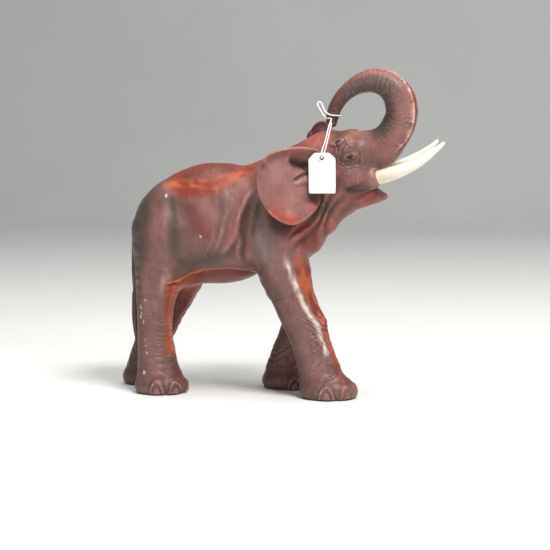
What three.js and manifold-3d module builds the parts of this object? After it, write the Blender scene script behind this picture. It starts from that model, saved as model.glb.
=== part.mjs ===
// A standing elephant figurine with a raised, curled trunk: a carved wooden core in seven
// doweled blocks, clad in panels of dyed leather, with separate ears, tusks, eyes and tail.
// Millimetres. X runs towards the head, Y to the elephant's left, Z up.

import * as THREE from "three";
import { mergeVertices } from "three/addons/utils/BufferGeometryUtils.js";
import Module from "manifold-3d";

// ---------------------------------------------------------------- driving dimensions

const LEATHER = 2.8; // thickness of a leather panel with its glue and lining
const GAP = 0.3; // space left between pieces that touch
const SOLE = 2.2; // thickness of a sole pad
const HIDE_CELL = 5; // sampling step of the hide's outside
const HIDE_TRIANGLES = 3300;
const CORE_CELL = 6;
const CORE_TRIANGLES = 1400;
const HEAD_ROLL = THREE.MathUtils.degToRad(10); // the head leans to its right
const HEAD_PIVOT = new THREE.Vector3(95, 0, 290);
const FOOT_SPREAD = 35; // from the midline to the middle of a foot
const LEG_WIDTH = 0.84; // a leg's thickness across, as a share of its depth fore and aft

const FRONT_CUT = { x: 18, z: 160 }; // a front leg starts in front of x and under z
const REAR_CUT = { x: -66, z: 152 }; // a rear leg starts behind x and under z
const NECK_CUT = { x: 92, z: 285, slope: THREE.MathUtils.degToRad(13) };
const TRUNK_CUT = { x: 199, z: 349, slope: THREE.MathUtils.degToRad(52) };

const LEFT_EAR = { turn: THREE.MathUtils.degToRad(24), lift: THREE.MathUtils.degToRad(10), up: 28 };

const WIDE = 130; // clear of the elephant's sides
const LOW = -30; // clear under its soles

const v3 = (x, y, z) => new THREE.Vector3(x, y, z);

// A direction, and a place, turned from the upright head's frame into the leaning one.
const rolled = ([x, y, z]) => [
  x,
  y * Math.cos(HEAD_ROLL) - z * Math.sin(HEAD_ROLL),
  y * Math.sin(HEAD_ROLL) + z * Math.cos(HEAD_ROLL),
];
function fromHead(x, y, z) {
  const [, turnedY, turnedZ] = rolled([x, y, z - HEAD_PIVOT.z]);
  return [x, turnedY, HEAD_PIVOT.z + turnedZ];
}

// ---------------------------------------------------------------- the sculpted form, as a distance field

const smoothMin = (a, b, k) => {
  const h = Math.max(k - Math.abs(a - b), 0) / k;
  return Math.min(a, b) - h * h * k * 0.25;
};
const smoothMax = (a, b, k) => -smoothMin(-a, -b, k);

// An ellipsoid, leaning by `tilt` in the XZ plane.
function ellipsoid(centre, radii, tilt = 0) {
  const c = Math.cos(tilt);
  const s = Math.sin(tilt);
  return (x, y, z) => {
    const dx = x - centre[0];
    const dz = z - centre[2];
    const px = (dx * c + dz * s) / radii[0];
    const py = (y - centre[1]) / radii[1];
    const pz = (dz * c - dx * s) / radii[2];
    const near = Math.hypot(px, py, pz);
    const slope = Math.hypot(px / radii[0], py / radii[1], pz / radii[2]);
    return slope < 1e-9 ? -Math.min(...radii) : (near * (near - 1)) / slope;
  };
}

// A run of balls of changing radius, [x, y, z, radius] each, with straight cones between them.
// `width` scales the thickness across the elephant.
function limb(stations, width = 1) {
  const cones = stations.slice(1).map((b, i) => {
    const a = stations[i];
    const d = [b[0] - a[0], b[1] - a[1], b[2] - a[2]];
    return { a, d, length2: d[0] * d[0] + d[1] * d[1] + d[2] * d[2], grow: b[3] - a[3] };
  });
  return (x, y, z) => {
    let best = Infinity;
    for (const { a, d, length2, grow } of cones) {
      const px = x - a[0];
      const pz = z - a[2];
      const py = y - a[1];
      const t = Math.min(1, Math.max(0, (px * d[0] + py * d[1] + pz * d[2]) / length2));
      const away = Math.hypot(px - t * d[0], (py - t * d[1]) / width, pz - t * d[2]);
      best = Math.min(best, (away - a[3] - t * grow) * Math.min(1, width + 0.1));
    }
    return best;
  };
}

// More stations between the given ones, on a smooth curve.
function smoothStations(stations, steps) {
  const line = new THREE.CatmullRomCurve3(stations.map((s) => v3(s[0], s[1], s[2])), false, "centripetal");
  const radius = new THREE.CatmullRomCurve3(stations.map((s) => v3(s[3], 0, 0)));
  return Array.from({ length: steps + 1 }, (_, i) => {
    const p = line.getPoint(i / steps);
    return [p.x, p.y, p.z, radius.getPoint(i / steps).x];
  });
}

function blend(parts, k) {
  return (x, y, z) => parts.reduce((sum, part) => smoothMin(sum, part(x, y, z), k), 1e3);
}

const bothSides = (part) => (x, y, z) => part(x, Math.abs(y), z);

// Torso: barrel, rump, shoulders, hip bones, shoulder blades and neck.
const torso = blend(
  [
    ellipsoid([-45, 0, 229], [100, 65, 82]),
    ellipsoid([-106, 0, 210], [57, 54, 73], 0.12),
    ellipsoid([28, 0, 242], [58, 52, 70]),
    bothSides(ellipsoid([-104, 32, 254], [28, 18, 26])),
    bothSides(limb([[44, 26, 282, 20], [34, 33, 235, 25], [28, 36, 200, 24]])),
    limb([[46, 0, 262, 52], [80, 0, 284, 51], [108, 0, 300, 44]], 0.8),
    limb([[62, 0, 206, 32], [72, 0, 217, 34], [92, 0, 243, 34], [126, 0, 274, 28]], 0.85),
  ],
  16,
);

// Legs: [x, z, radius] down each leg, how far out its top is, and the foot's place and half length.
const LEGS = {
  front_right: {
    side: -1,
    top: 34,
    foot: [117, 39],
    line: [[48, 215, 34], [58, 168, 35], [71, 128, 28], [85, 98, 27.5], [94, 70, 26], [107, 29, 28.5]],
  },
  front_left: {
    side: 1,
    top: 34,
    foot: [46, 38],
    line: [[44, 215, 32], [45, 168, 31], [55, 130, 27], [65, 100, 25], [57, 72, 24.5], [43, 30, 28]],
  },
  rear_right: {
    side: -1,
    top: 32,
    foot: [-117, 37],
    line: [[-108, 215, 46], [-115, 172, 36], [-122, 134, 28], [-124, 99, 24], [-124, 68, 25], [-120, 30, 29]],
  },
  rear_left: {
    side: 1,
    top: 32,
    foot: [-160, 36],
    line: [[-104, 215, 46], [-106, 168, 37], [-119, 130, 29], [-137, 96, 26], [-150, 64, 25], [-159, 30, 29]],
  },
};

function leg({ side, top, line, foot }) {
  const stations = line.map(([x, z, r], i) => {
    const share = Math.min(1, i / 3); // legs lean in from the shoulder to the foot
    return [x, side * (top + (FOOT_SPREAD - top) * share), z, r];
  });
  const toes = ellipsoid([foot[0], side * FOOT_SPREAD, 10], [foot[1], foot[1] * 0.84, 22]);
  return blend([limb(smoothStations(stations, 14), LEG_WIDTH), toes], 9);
}

const legs = Object.fromEntries(Object.entries(LEGS).map(([name, spec]) => [name, leg(spec)]));

// Head and trunk, before the head's lean.
const TRUNK = [
  [168, 0, 326, 25], [182, 0, 331, 23.5], [195, 0, 342, 22.5], [206, 0, 357, 22], [212, 0, 372, 21.5],
  [213, 0, 387, 21], [209, 0, 401, 20], [200, 0, 412, 18.5], [188, 0, 418.5, 16.8], [174, 0, 420, 14.8],
  [159, 0, 416.5, 12.8], [145, 0, 409, 11], [133, 0, 398, 9.6], [124, 0, 384, 8.6], [119, 0, 367, 7.6],
];
const trunkStations = smoothStations(TRUNK, 42);
const TRUNK_ROOT_STEPS = 15;
const trunkRoot = limb(trunkStations.slice(0, TRUNK_ROOT_STEPS + 1));
const trunkEnd = limb(trunkStations.slice(TRUNK_ROOT_STEPS));

const skull = blend(
  [
    ellipsoid([108, 0, 308], [36, 39, 42]),
    limb([[128, 0, 322, 31], [160, 0, 326, 26], [182, 0, 330, 23]], 0.95),
    bothSides(ellipsoid([143, 22, 334], [17, 13, 16])),
    limb([[118, 0, 290, 36], [160, 0, 300, 23]], 0.95),
    bothSides(limb([[142, 17, 300, 17], [172, 21, 293, 12]])),
    trunkRoot,
  ],
  12,
);
const jaw = limb([[118, 0, 272, 30], [152, 0, 268, 18], [175, 0, 267, 10], [185, 0, 266, 5]], 1.05);
const mouth = limb([[172, 0, 284, 3], [186, 0, 284, 9], [204, 0, 290, 16]], 1.5);

function headField(x, y, z) {
  const c = Math.cos(HEAD_ROLL);
  const s = Math.sin(HEAD_ROLL);
  const dz = z - HEAD_PIVOT.z;
  const ly = y * c + dz * s;
  const lz = HEAD_PIVOT.z - y * s + dz * c;
  const solid = smoothMin(skull(x, ly, lz), jaw(x, ly, lz), 10);
  return Math.min(smoothMax(solid, -mouth(x, ly, lz), 5), trunkEnd(x, ly, lz));
}

function form(x, y, z) {
  let d = torso(x, y, z);
  for (const name in legs) {
    d = smoothMin(d, legs[name](x, y, z), 13);
  }
  return smoothMin(d, x > 20 ? headField(x, y, z) : 1e3, 18);
}

// ---------------------------------------------------------------- meshing

// Marching tetrahedra: each grid cube is split into six tetrahedra around its diagonal, which
// always gives a closed surface.
const CUBE_PATHS = [[1, 2], [1, 4], [2, 1], [2, 4], [4, 1], [4, 2]];
const CUBE_TETRAHEDRA = CUBE_PATHS.map(([a, b]) => [0, a, a | b, 7]);

function isoSurface(field, box, cell) {
  const size = box.getSize(v3());
  const n = [size.x, size.y, size.z].map((s) => Math.ceil(s / cell) + 1);
  const at = (i, j, k) => (k * n[1] + j) * n[0] + i;
  const place = (index) => {
    const i = index % n[0];
    const j = Math.floor(index / n[0]) % n[1];
    return v3(i, j, Math.floor(index / (n[0] * n[1]))).multiplyScalar(cell).add(box.min);
  };
  const values = Float64Array.from({ length: n[0] * n[1] * n[2] }, (_, index) => {
    const { x, y, z } = place(index);
    return field(x, y, z) || 1e-9;
  });

  const vertices = [];
  const known = new Map();
  const crossing = (a, b) => {
    const key = a < b ? a * values.length + b : b * values.length + a;
    if (!known.has(key)) {
      const t = THREE.MathUtils.clamp(values[a] / (values[a] - values[b]), 0.08, 0.92);
      known.set(key, vertices.push(place(a).lerp(place(b), t)) - 1);
    }
    return known.get(key);
  };
  const faces = [];
  const addFace = (a, b, c, outward) => {
    const normal = vertices[b].clone().sub(vertices[a]).cross(vertices[c].clone().sub(vertices[a]));
    faces.push(normal.dot(outward) > 0 ? [a, b, c] : [a, c, b]);
  };
  const corner = (base, c) => base + at(c & 1, (c >> 1) & 1, c >> 2);
  for (let k = 0; k < n[2] - 1; k++)
    for (let j = 0; j < n[1] - 1; j++)
      for (let i = 0; i < n[0] - 1; i++) {
        const base = at(i, j, k);
        for (const tetrahedron of CUBE_TETRAHEDRA) {
          const ids = tetrahedron.map((c) => corner(base, c));
          const inside = ids.filter((id) => values[id] < 0);
          if (inside.length === 0 || inside.length === 4) continue;
          const outside = ids.filter((id) => values[id] >= 0);
          const outward = place(outside[0]).sub(place(inside[0]));
          if (inside.length === 2) {
            const around = [[0, 0], [0, 1], [1, 1], [1, 0]];
            const [p, q, r, s] = around.map(([a, b]) => crossing(inside[a], outside[b]));
            addFace(p, q, r, outward);
            addFace(p, r, s, outward);
          } else {
            const [one, others] = inside.length === 1 ? [inside[0], outside] : [outside[0], inside];
            addFace(...others.map((id) => crossing(one, id)), outward);
          }
        }
      }
  return { vertices, faces };
}

// The plane error of a point, as the ten numbers of a symmetric 4x4 matrix.
function planeError(n, d, weight) {
  const { x, y, z } = n;
  const q = [x * x, x * y, x * z, x * d, y * y, y * z, y * d, z * z, z * d, d * d];
  return q.map((value) => value * weight);
}

const errorAt = (q, { x, y, z }) =>
  q[0] * x * x + 2 * q[1] * x * y + 2 * q[2] * x * z + 2 * q[3] * x + q[4] * y * y +
  2 * q[5] * y * z + 2 * q[6] * y + q[7] * z * z + 2 * q[8] * z + q[9];

// The point where a quadric's error is least, or null where that isn't one clear point.
function leastErrorPoint(q) {
  const m = new THREE.Matrix3().set(q[0], q[1], q[2], q[1], q[4], q[5], q[2], q[5], q[7]);
  const size = Math.abs(q[0]) + Math.abs(q[4]) + Math.abs(q[7]);
  if (Math.abs(m.determinant()) < 1e-4 * size ** 3) return null;
  return v3(-q[3], -q[6], -q[8]).applyMatrix3(m.invert());
}

// Edge collapse, cheapest first, down to a number of triangles. The mesh stays closed, because
// an edge is only collapsed where its two ends share exactly two neighbours.
function simplify({ vertices, faces }, target) {
  const points = vertices.map((v) => v.clone());
  const around = points.map(() => new Set());
  const errors = points.map(() => new Array(10).fill(0));
  const triangles = faces.map((f) => [...f]);
  const alive = triangles.map(() => true);
  const normalOf = (a, b, c) => b.clone().sub(a).cross(c.clone().sub(a));
  triangles.forEach((t, index) => {
    const n = normalOf(...t.map((v) => points[v]));
    const area = n.length() / 2;
    n.normalize();
    const q = planeError(n, -n.dot(points[t[0]]), area);
    for (const v of t) {
      around[v].add(index);
      q.forEach((value, i) => (errors[v][i] += value));
    }
  });
  const neighbours = (v) => {
    const found = new Set();
    for (const t of around[v]) for (const w of triangles[t]) if (w !== v) found.add(w);
    return found;
  };

  const version = points.map(() => 0);
  const heap = [];
  const push = (item) => {
    let i = heap.push(item) - 1;
    while (i > 0) {
      const up = (i - 1) >> 1;
      if (heap[up].cost <= item.cost) break;
      heap[i] = heap[up];
      i = up;
    }
    heap[i] = item;
  };
  const pop = () => {
    const top = heap[0];
    const last = heap.pop();
    let i = 0;
    while (heap.length && 2 * i + 1 < heap.length) {
      let down = 2 * i + 1;
      if (down + 1 < heap.length && heap[down + 1].cost < heap[down].cost) down++;
      if (heap[down].cost >= last.cost) break;
      heap[i] = heap[down];
      i = down;
    }
    if (heap.length) heap[i] = last;
    return top;
  };
  const offer = (a, b) => {
    const q = errors[a].map((value, i) => value + errors[b][i]);
    const middle = points[a].clone().add(points[b]).multiplyScalar(0.5);
    const length = points[a].distanceTo(points[b]);
    const best = leastErrorPoint(q);
    const point = best && best.distanceTo(middle) < length ? best : middle;
    push({ a, b, point, cost: errorAt(q, point) + 1e-3 * length ** 4, stamp: version[a] + version[b] });
  };
  points.forEach((_, a) => {
    for (const b of neighbours(a)) if (a < b) offer(a, b);
  });

  const turnsOver = (v, other, point) =>
    [...around[v]].some((t) => {
      if (triangles[t].includes(other)) return false;
      const before = normalOf(...triangles[t].map((w) => points[w]));
      const after = normalOf(...triangles[t].map((w) => (w === v ? point : points[w])));
      return before.dot(after) < 0.3 * before.length() * after.length();
    });

  let count = triangles.length;
  const gone = points.map(() => false);
  while (count > target && heap.length) {
    const { a, b, point, stamp } = pop();
    if (gone[a] || gone[b] || stamp !== version[a] + version[b]) continue;
    const near = neighbours(b);
    const shared = [...neighbours(a)].filter((v) => near.has(v));
    if (shared.length !== 2 || turnsOver(a, b, point) || turnsOver(b, a, point)) continue;
    points[a].copy(point);
    gone[b] = true;
    version[a]++;
    errors[b].forEach((value, i) => (errors[a][i] += value));
    for (const t of [...around[b]]) {
      if (triangles[t].includes(a)) {
        alive[t] = false;
        count--;
        for (const w of triangles[t]) around[w].delete(t);
      } else {
        triangles[t] = triangles[t].map((w) => (w === b ? a : w));
        around[a].add(t);
      }
    }
    for (const w of neighbours(a)) offer(a, w);
  }
  return { vertices: points, faces: triangles.filter((_, t) => alive[t]) };
}

function geometryOf({ vertices, faces }) {
  const geometry = new THREE.BufferGeometry().setFromPoints(vertices);
  geometry.setIndex(faces.flat());
  return mergeVertices(geometry.toNonIndexed(), 1e-4);
}

// The same closed mesh, with each vertex moved out along its normal.
function grown(geometry, distance) {
  const copy = geometry.clone();
  copy.computeVertexNormals();
  const position = copy.attributes.position;
  const normal = copy.attributes.normal;
  for (let i = 0; i < position.count; i++)
    position.setXYZ(
      i,
      position.getX(i) + distance * normal.getX(i),
      position.getY(i) + distance * normal.getY(i),
      position.getZ(i) + distance * normal.getZ(i),
    );
  copy.deleteAttribute("normal");
  return copy;
}

// ---------------------------------------------------------------- solids

const wasm = await Module();
wasm.setup();

function solidOf(geometry) {
  const merged = geometry.index ? geometry : mergeVertices(geometry, 1e-4);
  return new wasm.Manifold(
    new wasm.Mesh({
      numProp: 3,
      vertProperties: new Float32Array(merged.attributes.position.array),
      triVerts: new Uint32Array(merged.index.array),
    }),
  );
}

// A plain three.js solid, welded: its separate face normals and texture seams are dropped.
function plain(geometry) {
  const bare = new THREE.BufferGeometry();
  const separate = geometry.index ? geometry.toNonIndexed() : geometry;
  bare.setAttribute("position", separate.attributes.position);
  return solidOf(mergeVertices(bare, 1e-4));
}

function sculpted(field, box, cell, triangles) {
  return geometryOf(simplify(isoSurface(field, box, cell), triangles));
}

// A prism across the elephant: an outline in X and Z, from y0 to y1.
function prism(outline, y0, y1, roll = 0) {
  const shape = new THREE.Shape(outline.map(([x, z]) => new THREE.Vector2(x, z)));
  const geometry = new THREE.ExtrudeGeometry(shape, { depth: y1 - y0, bevelEnabled: false });
  geometry.rotateX(Math.PI / 2).translate(0, y1, 0);
  if (roll) geometry.translate(0, 0, -HEAD_PIVOT.z).rotateX(roll).translate(0, 0, HEAD_PIVOT.z);
  return plain(geometry);
}

const box = (min, max) => {
  const size = max.map((m, i) => m - min[i]);
  const middle = max.map((m, i) => (m + min[i]) / 2);
  return plain(new THREE.BoxGeometry(...size).translate(...middle));
};

// A saw cut of width GAP along a line in X and Z, right across the elephant.
function sawCut(line, roll = 0) {
  const there = line.map(([x, z]) => new THREE.Vector2(x, z));
  const offset = there.map((p, i) => {
    const along = there[Math.min(i + 1, there.length - 1)].clone().sub(there[Math.max(i - 1, 0)]).normalize();
    return [p.x - along.y * GAP, p.y + along.x * GAP];
  });
  return prism([...line, ...offset.reverse()], -WIDE, WIDE, roll);
}

const bounds = (solid) => {
  const { min, max } = solid.boundingBox();
  return new THREE.Box3(v3(...min), v3(...max));
};

// The body of a cut solid whose middle is nearest a point.
function bodyNear(bodies, point) {
  const far = (body) => bounds(body).getCenter(v3()).distanceTo(v3(...point));
  return bodies.reduce((best, body) => (far(body) < far(best) ? body : best));
}

const group = new THREE.Group();

function addPiece(name, solid, colour, roughness = 0.6) {
  const mesh = solid.getMesh();
  const positions = new Float32Array(mesh.numVert * 3);
  for (let i = 0; i < mesh.numVert; i++)
    for (let m = 0; m < 3; m++) positions[3 * i + m] = mesh.vertProperties[mesh.numProp * i + m];
  const geometry = new THREE.BufferGeometry();
  geometry.setAttribute("position", new THREE.BufferAttribute(positions, 3));
  geometry.setIndex(Array.from(mesh.triVerts));
  const piece = new THREE.Mesh(geometry, new THREE.MeshStandardMaterial({ color: colour, roughness }));
  piece.name = name;
  group.add(piece);
}

const HIDE_COLOUR = 0x6e3a34;
const SOLE_COLOUR = 0x4a2a22;
const WOOD_COLOUR = 0xb08a5c;
const DOWEL_COLOUR = 0xd2b07c;
const IVORY_COLOUR = 0xefe9d8;
const EYE_COLOUR = 0x1a0f0a;
const CARD_COLOUR = 0xf4f2ee;
const STRING_COLOUR = 0xf2efe8;

// ---------------------------------------------------------------- hide and core

const BOX = new THREE.Box3(v3(-200, -92, -14), v3(250, 92, 446));
const CORE_DEPTH = LEATHER + GAP;
const hideGeometry = sculpted(form, BOX, HIDE_CELL, HIDE_TRIANGLES);
const coreGeometry = sculpted((x, y, z) => form(x, y, z) + CORE_DEPTH, BOX, CORE_CELL, CORE_TRIANGLES);

const aboveGround = box([-300, -WIDE, 0], [300, WIDE, 500]);
const aboveSoles = box([-300, -WIDE, SOLE + GAP], [300, WIDE, 500]);
const hide = solidOf(hideGeometry).intersect(aboveGround);
const core = solidOf(coreGeometry).intersect(aboveSoles);
const leather = hide.intersect(aboveSoles).subtract(solidOf(grown(coreGeometry, GAP))).subtract(core);

const slant = ({ x, z, slope }, from, to) =>
  [from, to].map((t) => [x - t * Math.sin(slope), z + t * Math.cos(slope)]);
const neckCut = sawCut(slant(NECK_CUT, -110, 62));
const trunkCut = sawCut(slant(TRUNK_CUT, -34, 34), HEAD_ROLL);
const legCuts = [
  sawCut([[FRONT_CUT.x, LOW], [FRONT_CUT.x, FRONT_CUT.z], [130, FRONT_CUT.z]]),
  sawCut([[-220, REAR_CUT.z], [REAR_CUT.x, REAR_CUT.z], [REAR_CUT.x, LOW]]),
];
const between = prism([[-220, LOW], [220, LOW], [220, REAR_CUT.z], [-220, REAR_CUT.z]], -GAP / 2, GAP / 2);
const cuts = [neckCut, trunkCut, ...legCuts, between];

// A dowel across a cut, and the hole it sits in.
function dowel(radius, length, at, direction = [0, 0, 1]) {
  const turn = new THREE.Quaternion().setFromUnitVectors(v3(0, 1, 0), v3(...direction).normalize());
  const rod = (r, l) =>
    plain(new THREE.CylinderGeometry(r, r, l, 20).applyQuaternion(turn).translate(...at));
  return { rod: rod(radius, length), hole: rod(radius + GAP, length + 2 * GAP) };
}

const LEG_DOWEL = { radius: 6, length: 44 };
const legDowel = (x, y, z) => dowel(LEG_DOWEL.radius, LEG_DOWEL.length, [x, y, z]);
const across = ({ slope }) => [Math.cos(slope), 0, Math.sin(slope)];
const dowels = {
  neck_dowel: dowel(9, 52, [NECK_CUT.x, 0, NECK_CUT.z], across(NECK_CUT)),
  trunk_dowel: dowel(6, 26, fromHead(TRUNK_CUT.x, 0, TRUNK_CUT.z), rolled(across(TRUNK_CUT))),
  front_leg_dowel_right: legDowel(59, -39, FRONT_CUT.z),
  front_leg_dowel_left: legDowel(46, 39, FRONT_CUT.z),
  rear_leg_dowel_right: legDowel(-117, -36, REAR_CUT.z),
  rear_leg_dowel_left: legDowel(-113, 36, REAR_CUT.z),
};

// ---------------------------------------------------------------- tusks and eyes

const boxAround = (stations, margin) => {
  const around = new THREE.Box3();
  for (const [x, y, z] of stations) around.expandByPoint(v3(x, y, z));
  const most = Math.max(...stations.map((s) => s[3]));
  return around.expandByScalar(most + margin);
};

function carvedLimb(stations, steps, cell, triangles) {
  const line = smoothStations(stations, steps);
  return sculpted(limb(line), boxAround(line, 2 * cell), cell, triangles);
}

const TUSK_CELL = 2.4;
const TUSKS = {
  tusk_right: [
    [152, -18, 287, 7.5], [178, -21.5, 291, 9.3], [198, -24, 296.5, 9.2], [215, -25.5, 302, 8],
    [232, -26.5, 309, 6.3], [248, -26.5, 319, 4.9], [260, -26, 328.5, 3.5], [269, -25, 336, 2.3],
  ],
  tusk_left: [
    [150, 20, 292, 7.5], [172, 23, 297, 9.3], [190, 25, 301.5, 9.2], [208, 26, 308, 8],
    [222, 26, 315, 6.5], [236, 25, 323.5, 5], [247, 24, 332, 3.5], [254, 23, 338.5, 2.3],
  ],
};

const EYE = { x: 148, y: 30, z: 327, radius: 4.6, sunk: 1.6 };

// The point of the hide at a place on the head's side, found by walking in towards the middle.
function onHide(x, z, side) {
  let y = WIDE;
  while (y > 0 && form(x, side * y, z) > 0) y -= 0.25;
  return [x, side * y, z];
}

function eye(side) {
  const [x, , z] = fromHead(EYE.x, side * EYE.y, EYE.z);
  const at = onHide(x, z, side);
  at[1] -= side * EYE.sunk;
  const ball = (r) => plain(new THREE.SphereGeometry(r, 14, 9).translate(...at));
  return { ball: ball(EYE.radius), socket: ball(EYE.radius + GAP) };
}

// ---------------------------------------------------------------- ears

// A thin curved fan behind the cheek: its outline in X and Z, and how far out it stands.
const EAR = {
  outline: [
    [104, 327], [92, 333], [72, 333], [52, 327], [40, 314], [34, 294], [36, 272],
    [46, 252], [60, 238], [76, 232], [90, 237], [102, 251], [108, 266],
  ],
  thickness: 5,
  root: 40,
  flare: 42,
  back: 34,
  length: 68,
};
const EAR_CELL = 3.4;
const EAR_TRIANGLES = 420;
const earLine = new THREE.CatmullRomCurve3(EAR.outline.map(([x, z]) => v3(x, 0, z)), true).getPoints(40);

function outlineDistance(x, z) {
  let nearest = Infinity;
  let inside = false;
  for (let i = 0; i < earLine.length - 1; i++) {
    const a = earLine[i];
    const b = earLine[i + 1];
    const t = ((x - a.x) * (b.x - a.x) + (z - a.z) * (b.z - a.z)) / a.distanceToSquared(b);
    const s = THREE.MathUtils.clamp(t, 0, 1);
    nearest = Math.min(nearest, Math.hypot(x - a.x - s * (b.x - a.x), z - a.z - s * (b.z - a.z)));
    if (a.z > z !== b.z > z && x < a.x + ((z - a.z) * (b.x - a.x)) / (b.z - a.z)) inside = !inside;
  }
  return inside ? -nearest : nearest;
}

function earField(x, y, z) {
  const forward = (x - EAR.back) / EAR.length;
  const sheet = EAR.root + EAR.flare * (1 - forward * forward);
  const steep = Math.hypot(1, (2 * EAR.flare * forward) / EAR.length);
  return smoothMax(Math.abs(y - sheet) / steep - EAR.thickness / 2, outlineDistance(x, z), 3);
}

const EAR_BOX = new THREE.Box3(v3(26, 26, 224), v3(118, 92, 342));
function ear(side) {
  const geometry = sculpted(earField, EAR_BOX, EAR_CELL, EAR_TRIANGLES);
  const solid = solidOf(geometry);
  if (side < 0) return solid.mirror([0, 1, 0]);
  const root = v3(EAR.back + EAR.length, EAR.root, HEAD_PIVOT.z);
  geometry.translate(-root.x, -root.y, -root.z).rotateZ(-LEFT_EAR.turn).rotateX(LEFT_EAR.lift);
  return solidOf(geometry.translate(root.x, root.y, root.z + LEFT_EAR.up));
}

// ---------------------------------------------------------------- tail

const TAIL_CELL = 3;
const TAIL = [
  [-146, 8, 258, 6], [-158, 11, 240, 5.4], [-165, 12, 216, 5], [-167, 10, 188, 4.6],
  [-165.5, 5, 158, 4.4], [-162.5, 0, 128, 4.6],
];
const TUFT = [[-162, -1, 117, 5.2], [-161, -2, 100, 6.6], [-160.5, -3, 84, 5.6], [-160.5, -3, 64, 2.6]];

// ---------------------------------------------------------------- ticket

const CARD = { width: 36, height: 53, thickness: 0.6, shoulder: 8, hole: 3, holeDrop: 6.5 };
const CARD_HANGS = [114, -52.3, 319];

function card() {
  const { width, height, shoulder } = CARD;
  const half = width / 2;
  const top = CARD.holeDrop;
  const corners = [
    [-half, top - height], [half, top - height], [half, top - shoulder],
    [half - shoulder, top], [shoulder - half, top], [-half, top - shoulder],
  ];
  const shape = new THREE.Shape(corners.map(([x, z]) => new THREE.Vector2(x, z)));
  shape.holes.push(new THREE.Path().absarc(0, 0, CARD.hole, 0, 2 * Math.PI, true));
  const options = { depth: CARD.thickness, bevelEnabled: false, curveSegments: 8 };
  const geometry = new THREE.ExtrudeGeometry(shape, options);
  return plain(geometry.rotateX(Math.PI / 2).translate(...CARD_HANGS));
}

const STRING_RADIUS = 1;
const HITCH = { x: 120.6, y: -14.4, z: 374.4, radius: 10.5, fall: 5 };

// The string's route: its loose loop, one turn round the trunk's tip, down to the card's hole in
// front of the card, and back up from behind it.
function stringRoute() {
  const loop = [
    [112.5, -27, 372], [106.5, -23.5, 380.5], [101.6, -19.5, 388.5], [103.4, -18.2, 392],
    [106.6, -18.6, 390], [110, -21.6, 383.5], [114.6, -25.4, 377.5],
  ];
  const turn = Array.from({ length: 9 }, (_, i) => {
    const angle = -Math.PI / 2 + (i / 8) * 2 * Math.PI;
    return [
      HITCH.x + HITCH.radius * Math.cos(angle),
      HITCH.y + HITCH.radius * Math.sin(angle),
      HITCH.z - (i / 8) * HITCH.fall,
    ];
  });
  const down = [[118.6, -31, 359], [116.4, -41, 342], [114.2, -52.3, 329], [113.7, -56.4, 322.6]];
  const throughHole = [[113.8, -55.4, 319.5], [114, -52.3, 318.9], [114.2, -49.2, 319.5]];
  const up = [
    [114.7, -47.6, 322.6], [116.8, -45, 330], [119.2, -39.4, 343], [121.2, -31, 358], [121.9, -27.4, 364],
  ];
  return [...loop, ...turn, ...down, ...throughHole, ...up];
}

function string() {
  const middle = new THREE.Vector2();
  const corner = (i) => new THREE.Vector2(STRING_RADIUS, 0).rotateAround(middle, (i * Math.PI) / 4);
  const section = new THREE.Shape([0, 1, 2, 3, 4, 5, 6, 7].map(corner));
  const path = new THREE.CatmullRomCurve3(stringRoute().map((p) => v3(...p)), false, "centripetal");
  return plain(new THREE.ExtrudeGeometry(section, { steps: 78, extrudePath: path, bevelEnabled: false }));
}

// ---------------------------------------------------------------- assembly

const { ball: eyeRight, socket: socketRight } = eye(-1);
const { ball: eyeLeft, socket: socketLeft } = eye(1);
const tusks = Object.fromEntries(
  Object.entries(TUSKS).map(([name, stations]) => [name, carvedLimb(stations, 16, TUSK_CELL, 240)]),
);
const tuskHoles = Object.values(tusks).map((geometry) => solidOf(grown(geometry, GAP)));
const headHoles = [socketRight, socketLeft, ...tuskHoles];
const subtractAll = (solid, others) => others.reduce((rest, other) => rest.subtract(other), solid);

const dowelHoles = Object.values(dowels).map(({ hole }) => hole);
const coreBodies = subtractAll(core, [...cuts, ...headHoles, ...dowelHoles]).decompose();
const CORES = {
  torso_core: [-20, 0, 245],
  head_core: [130, 0, 300],
  trunk_core: [165, -16, 385],
  leg_core_front_right: [90, -38, 80],
  leg_core_front_left: [50, 38, 80],
  leg_core_rear_right: [-120, -36, 80],
  leg_core_rear_left: [-140, 36, 80],
};
const addBodies = (middles, bodies, colour) => {
  for (const [name, middle] of Object.entries(middles)) addPiece(name, bodyNear(bodies, middle), colour);
};
addBodies(CORES, coreBodies, WOOD_COLOUR);
for (const [name, { rod }] of Object.entries(dowels)) addPiece(name, rod, DOWEL_COLOUR);

const BELLY_SEAM = [
  [-98, REAR_CUT.z], [-87, REAR_CUT.z + 2], [-73, 163], [-51, 170],
  [-23, 172.5], [4, 170], [16, 163], [24, FRONT_CUT.z],
];
const aboveBelly = [...BELLY_SEAM, [130, FRONT_CUT.z], [130, 400], [-220, 400], [-220, REAR_CUT.z]];
const aheadOfNeck = [...slant(NECK_CUT, -160, 120), [260, 400], [260, 100]];
const midSeam = prism(aboveBelly, -GAP / 2, GAP / 2).subtract(prism(aheadOfNeck, -WIDE, WIDE));
const leatherBodies = subtractAll(leather, [...cuts, sawCut(BELLY_SEAM), midSeam, ...headHoles]).decompose();
const PANELS = {
  flank_leather_right: [-30, -34, 235],
  flank_leather_left: [-30, 34, 235],
  belly_leather: [-30, 0, 158],
  head_leather: [140, 0, 290],
  trunk_leather: [165, -16, 385],
  leg_leather_front_right: [90, -38, 80],
  leg_leather_front_left: [50, 38, 80],
  leg_leather_rear_right: [-120, -36, 80],
  leg_leather_rear_left: [-140, 36, 80],
};
addBodies(PANELS, leatherBodies, HIDE_COLOUR);

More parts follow.
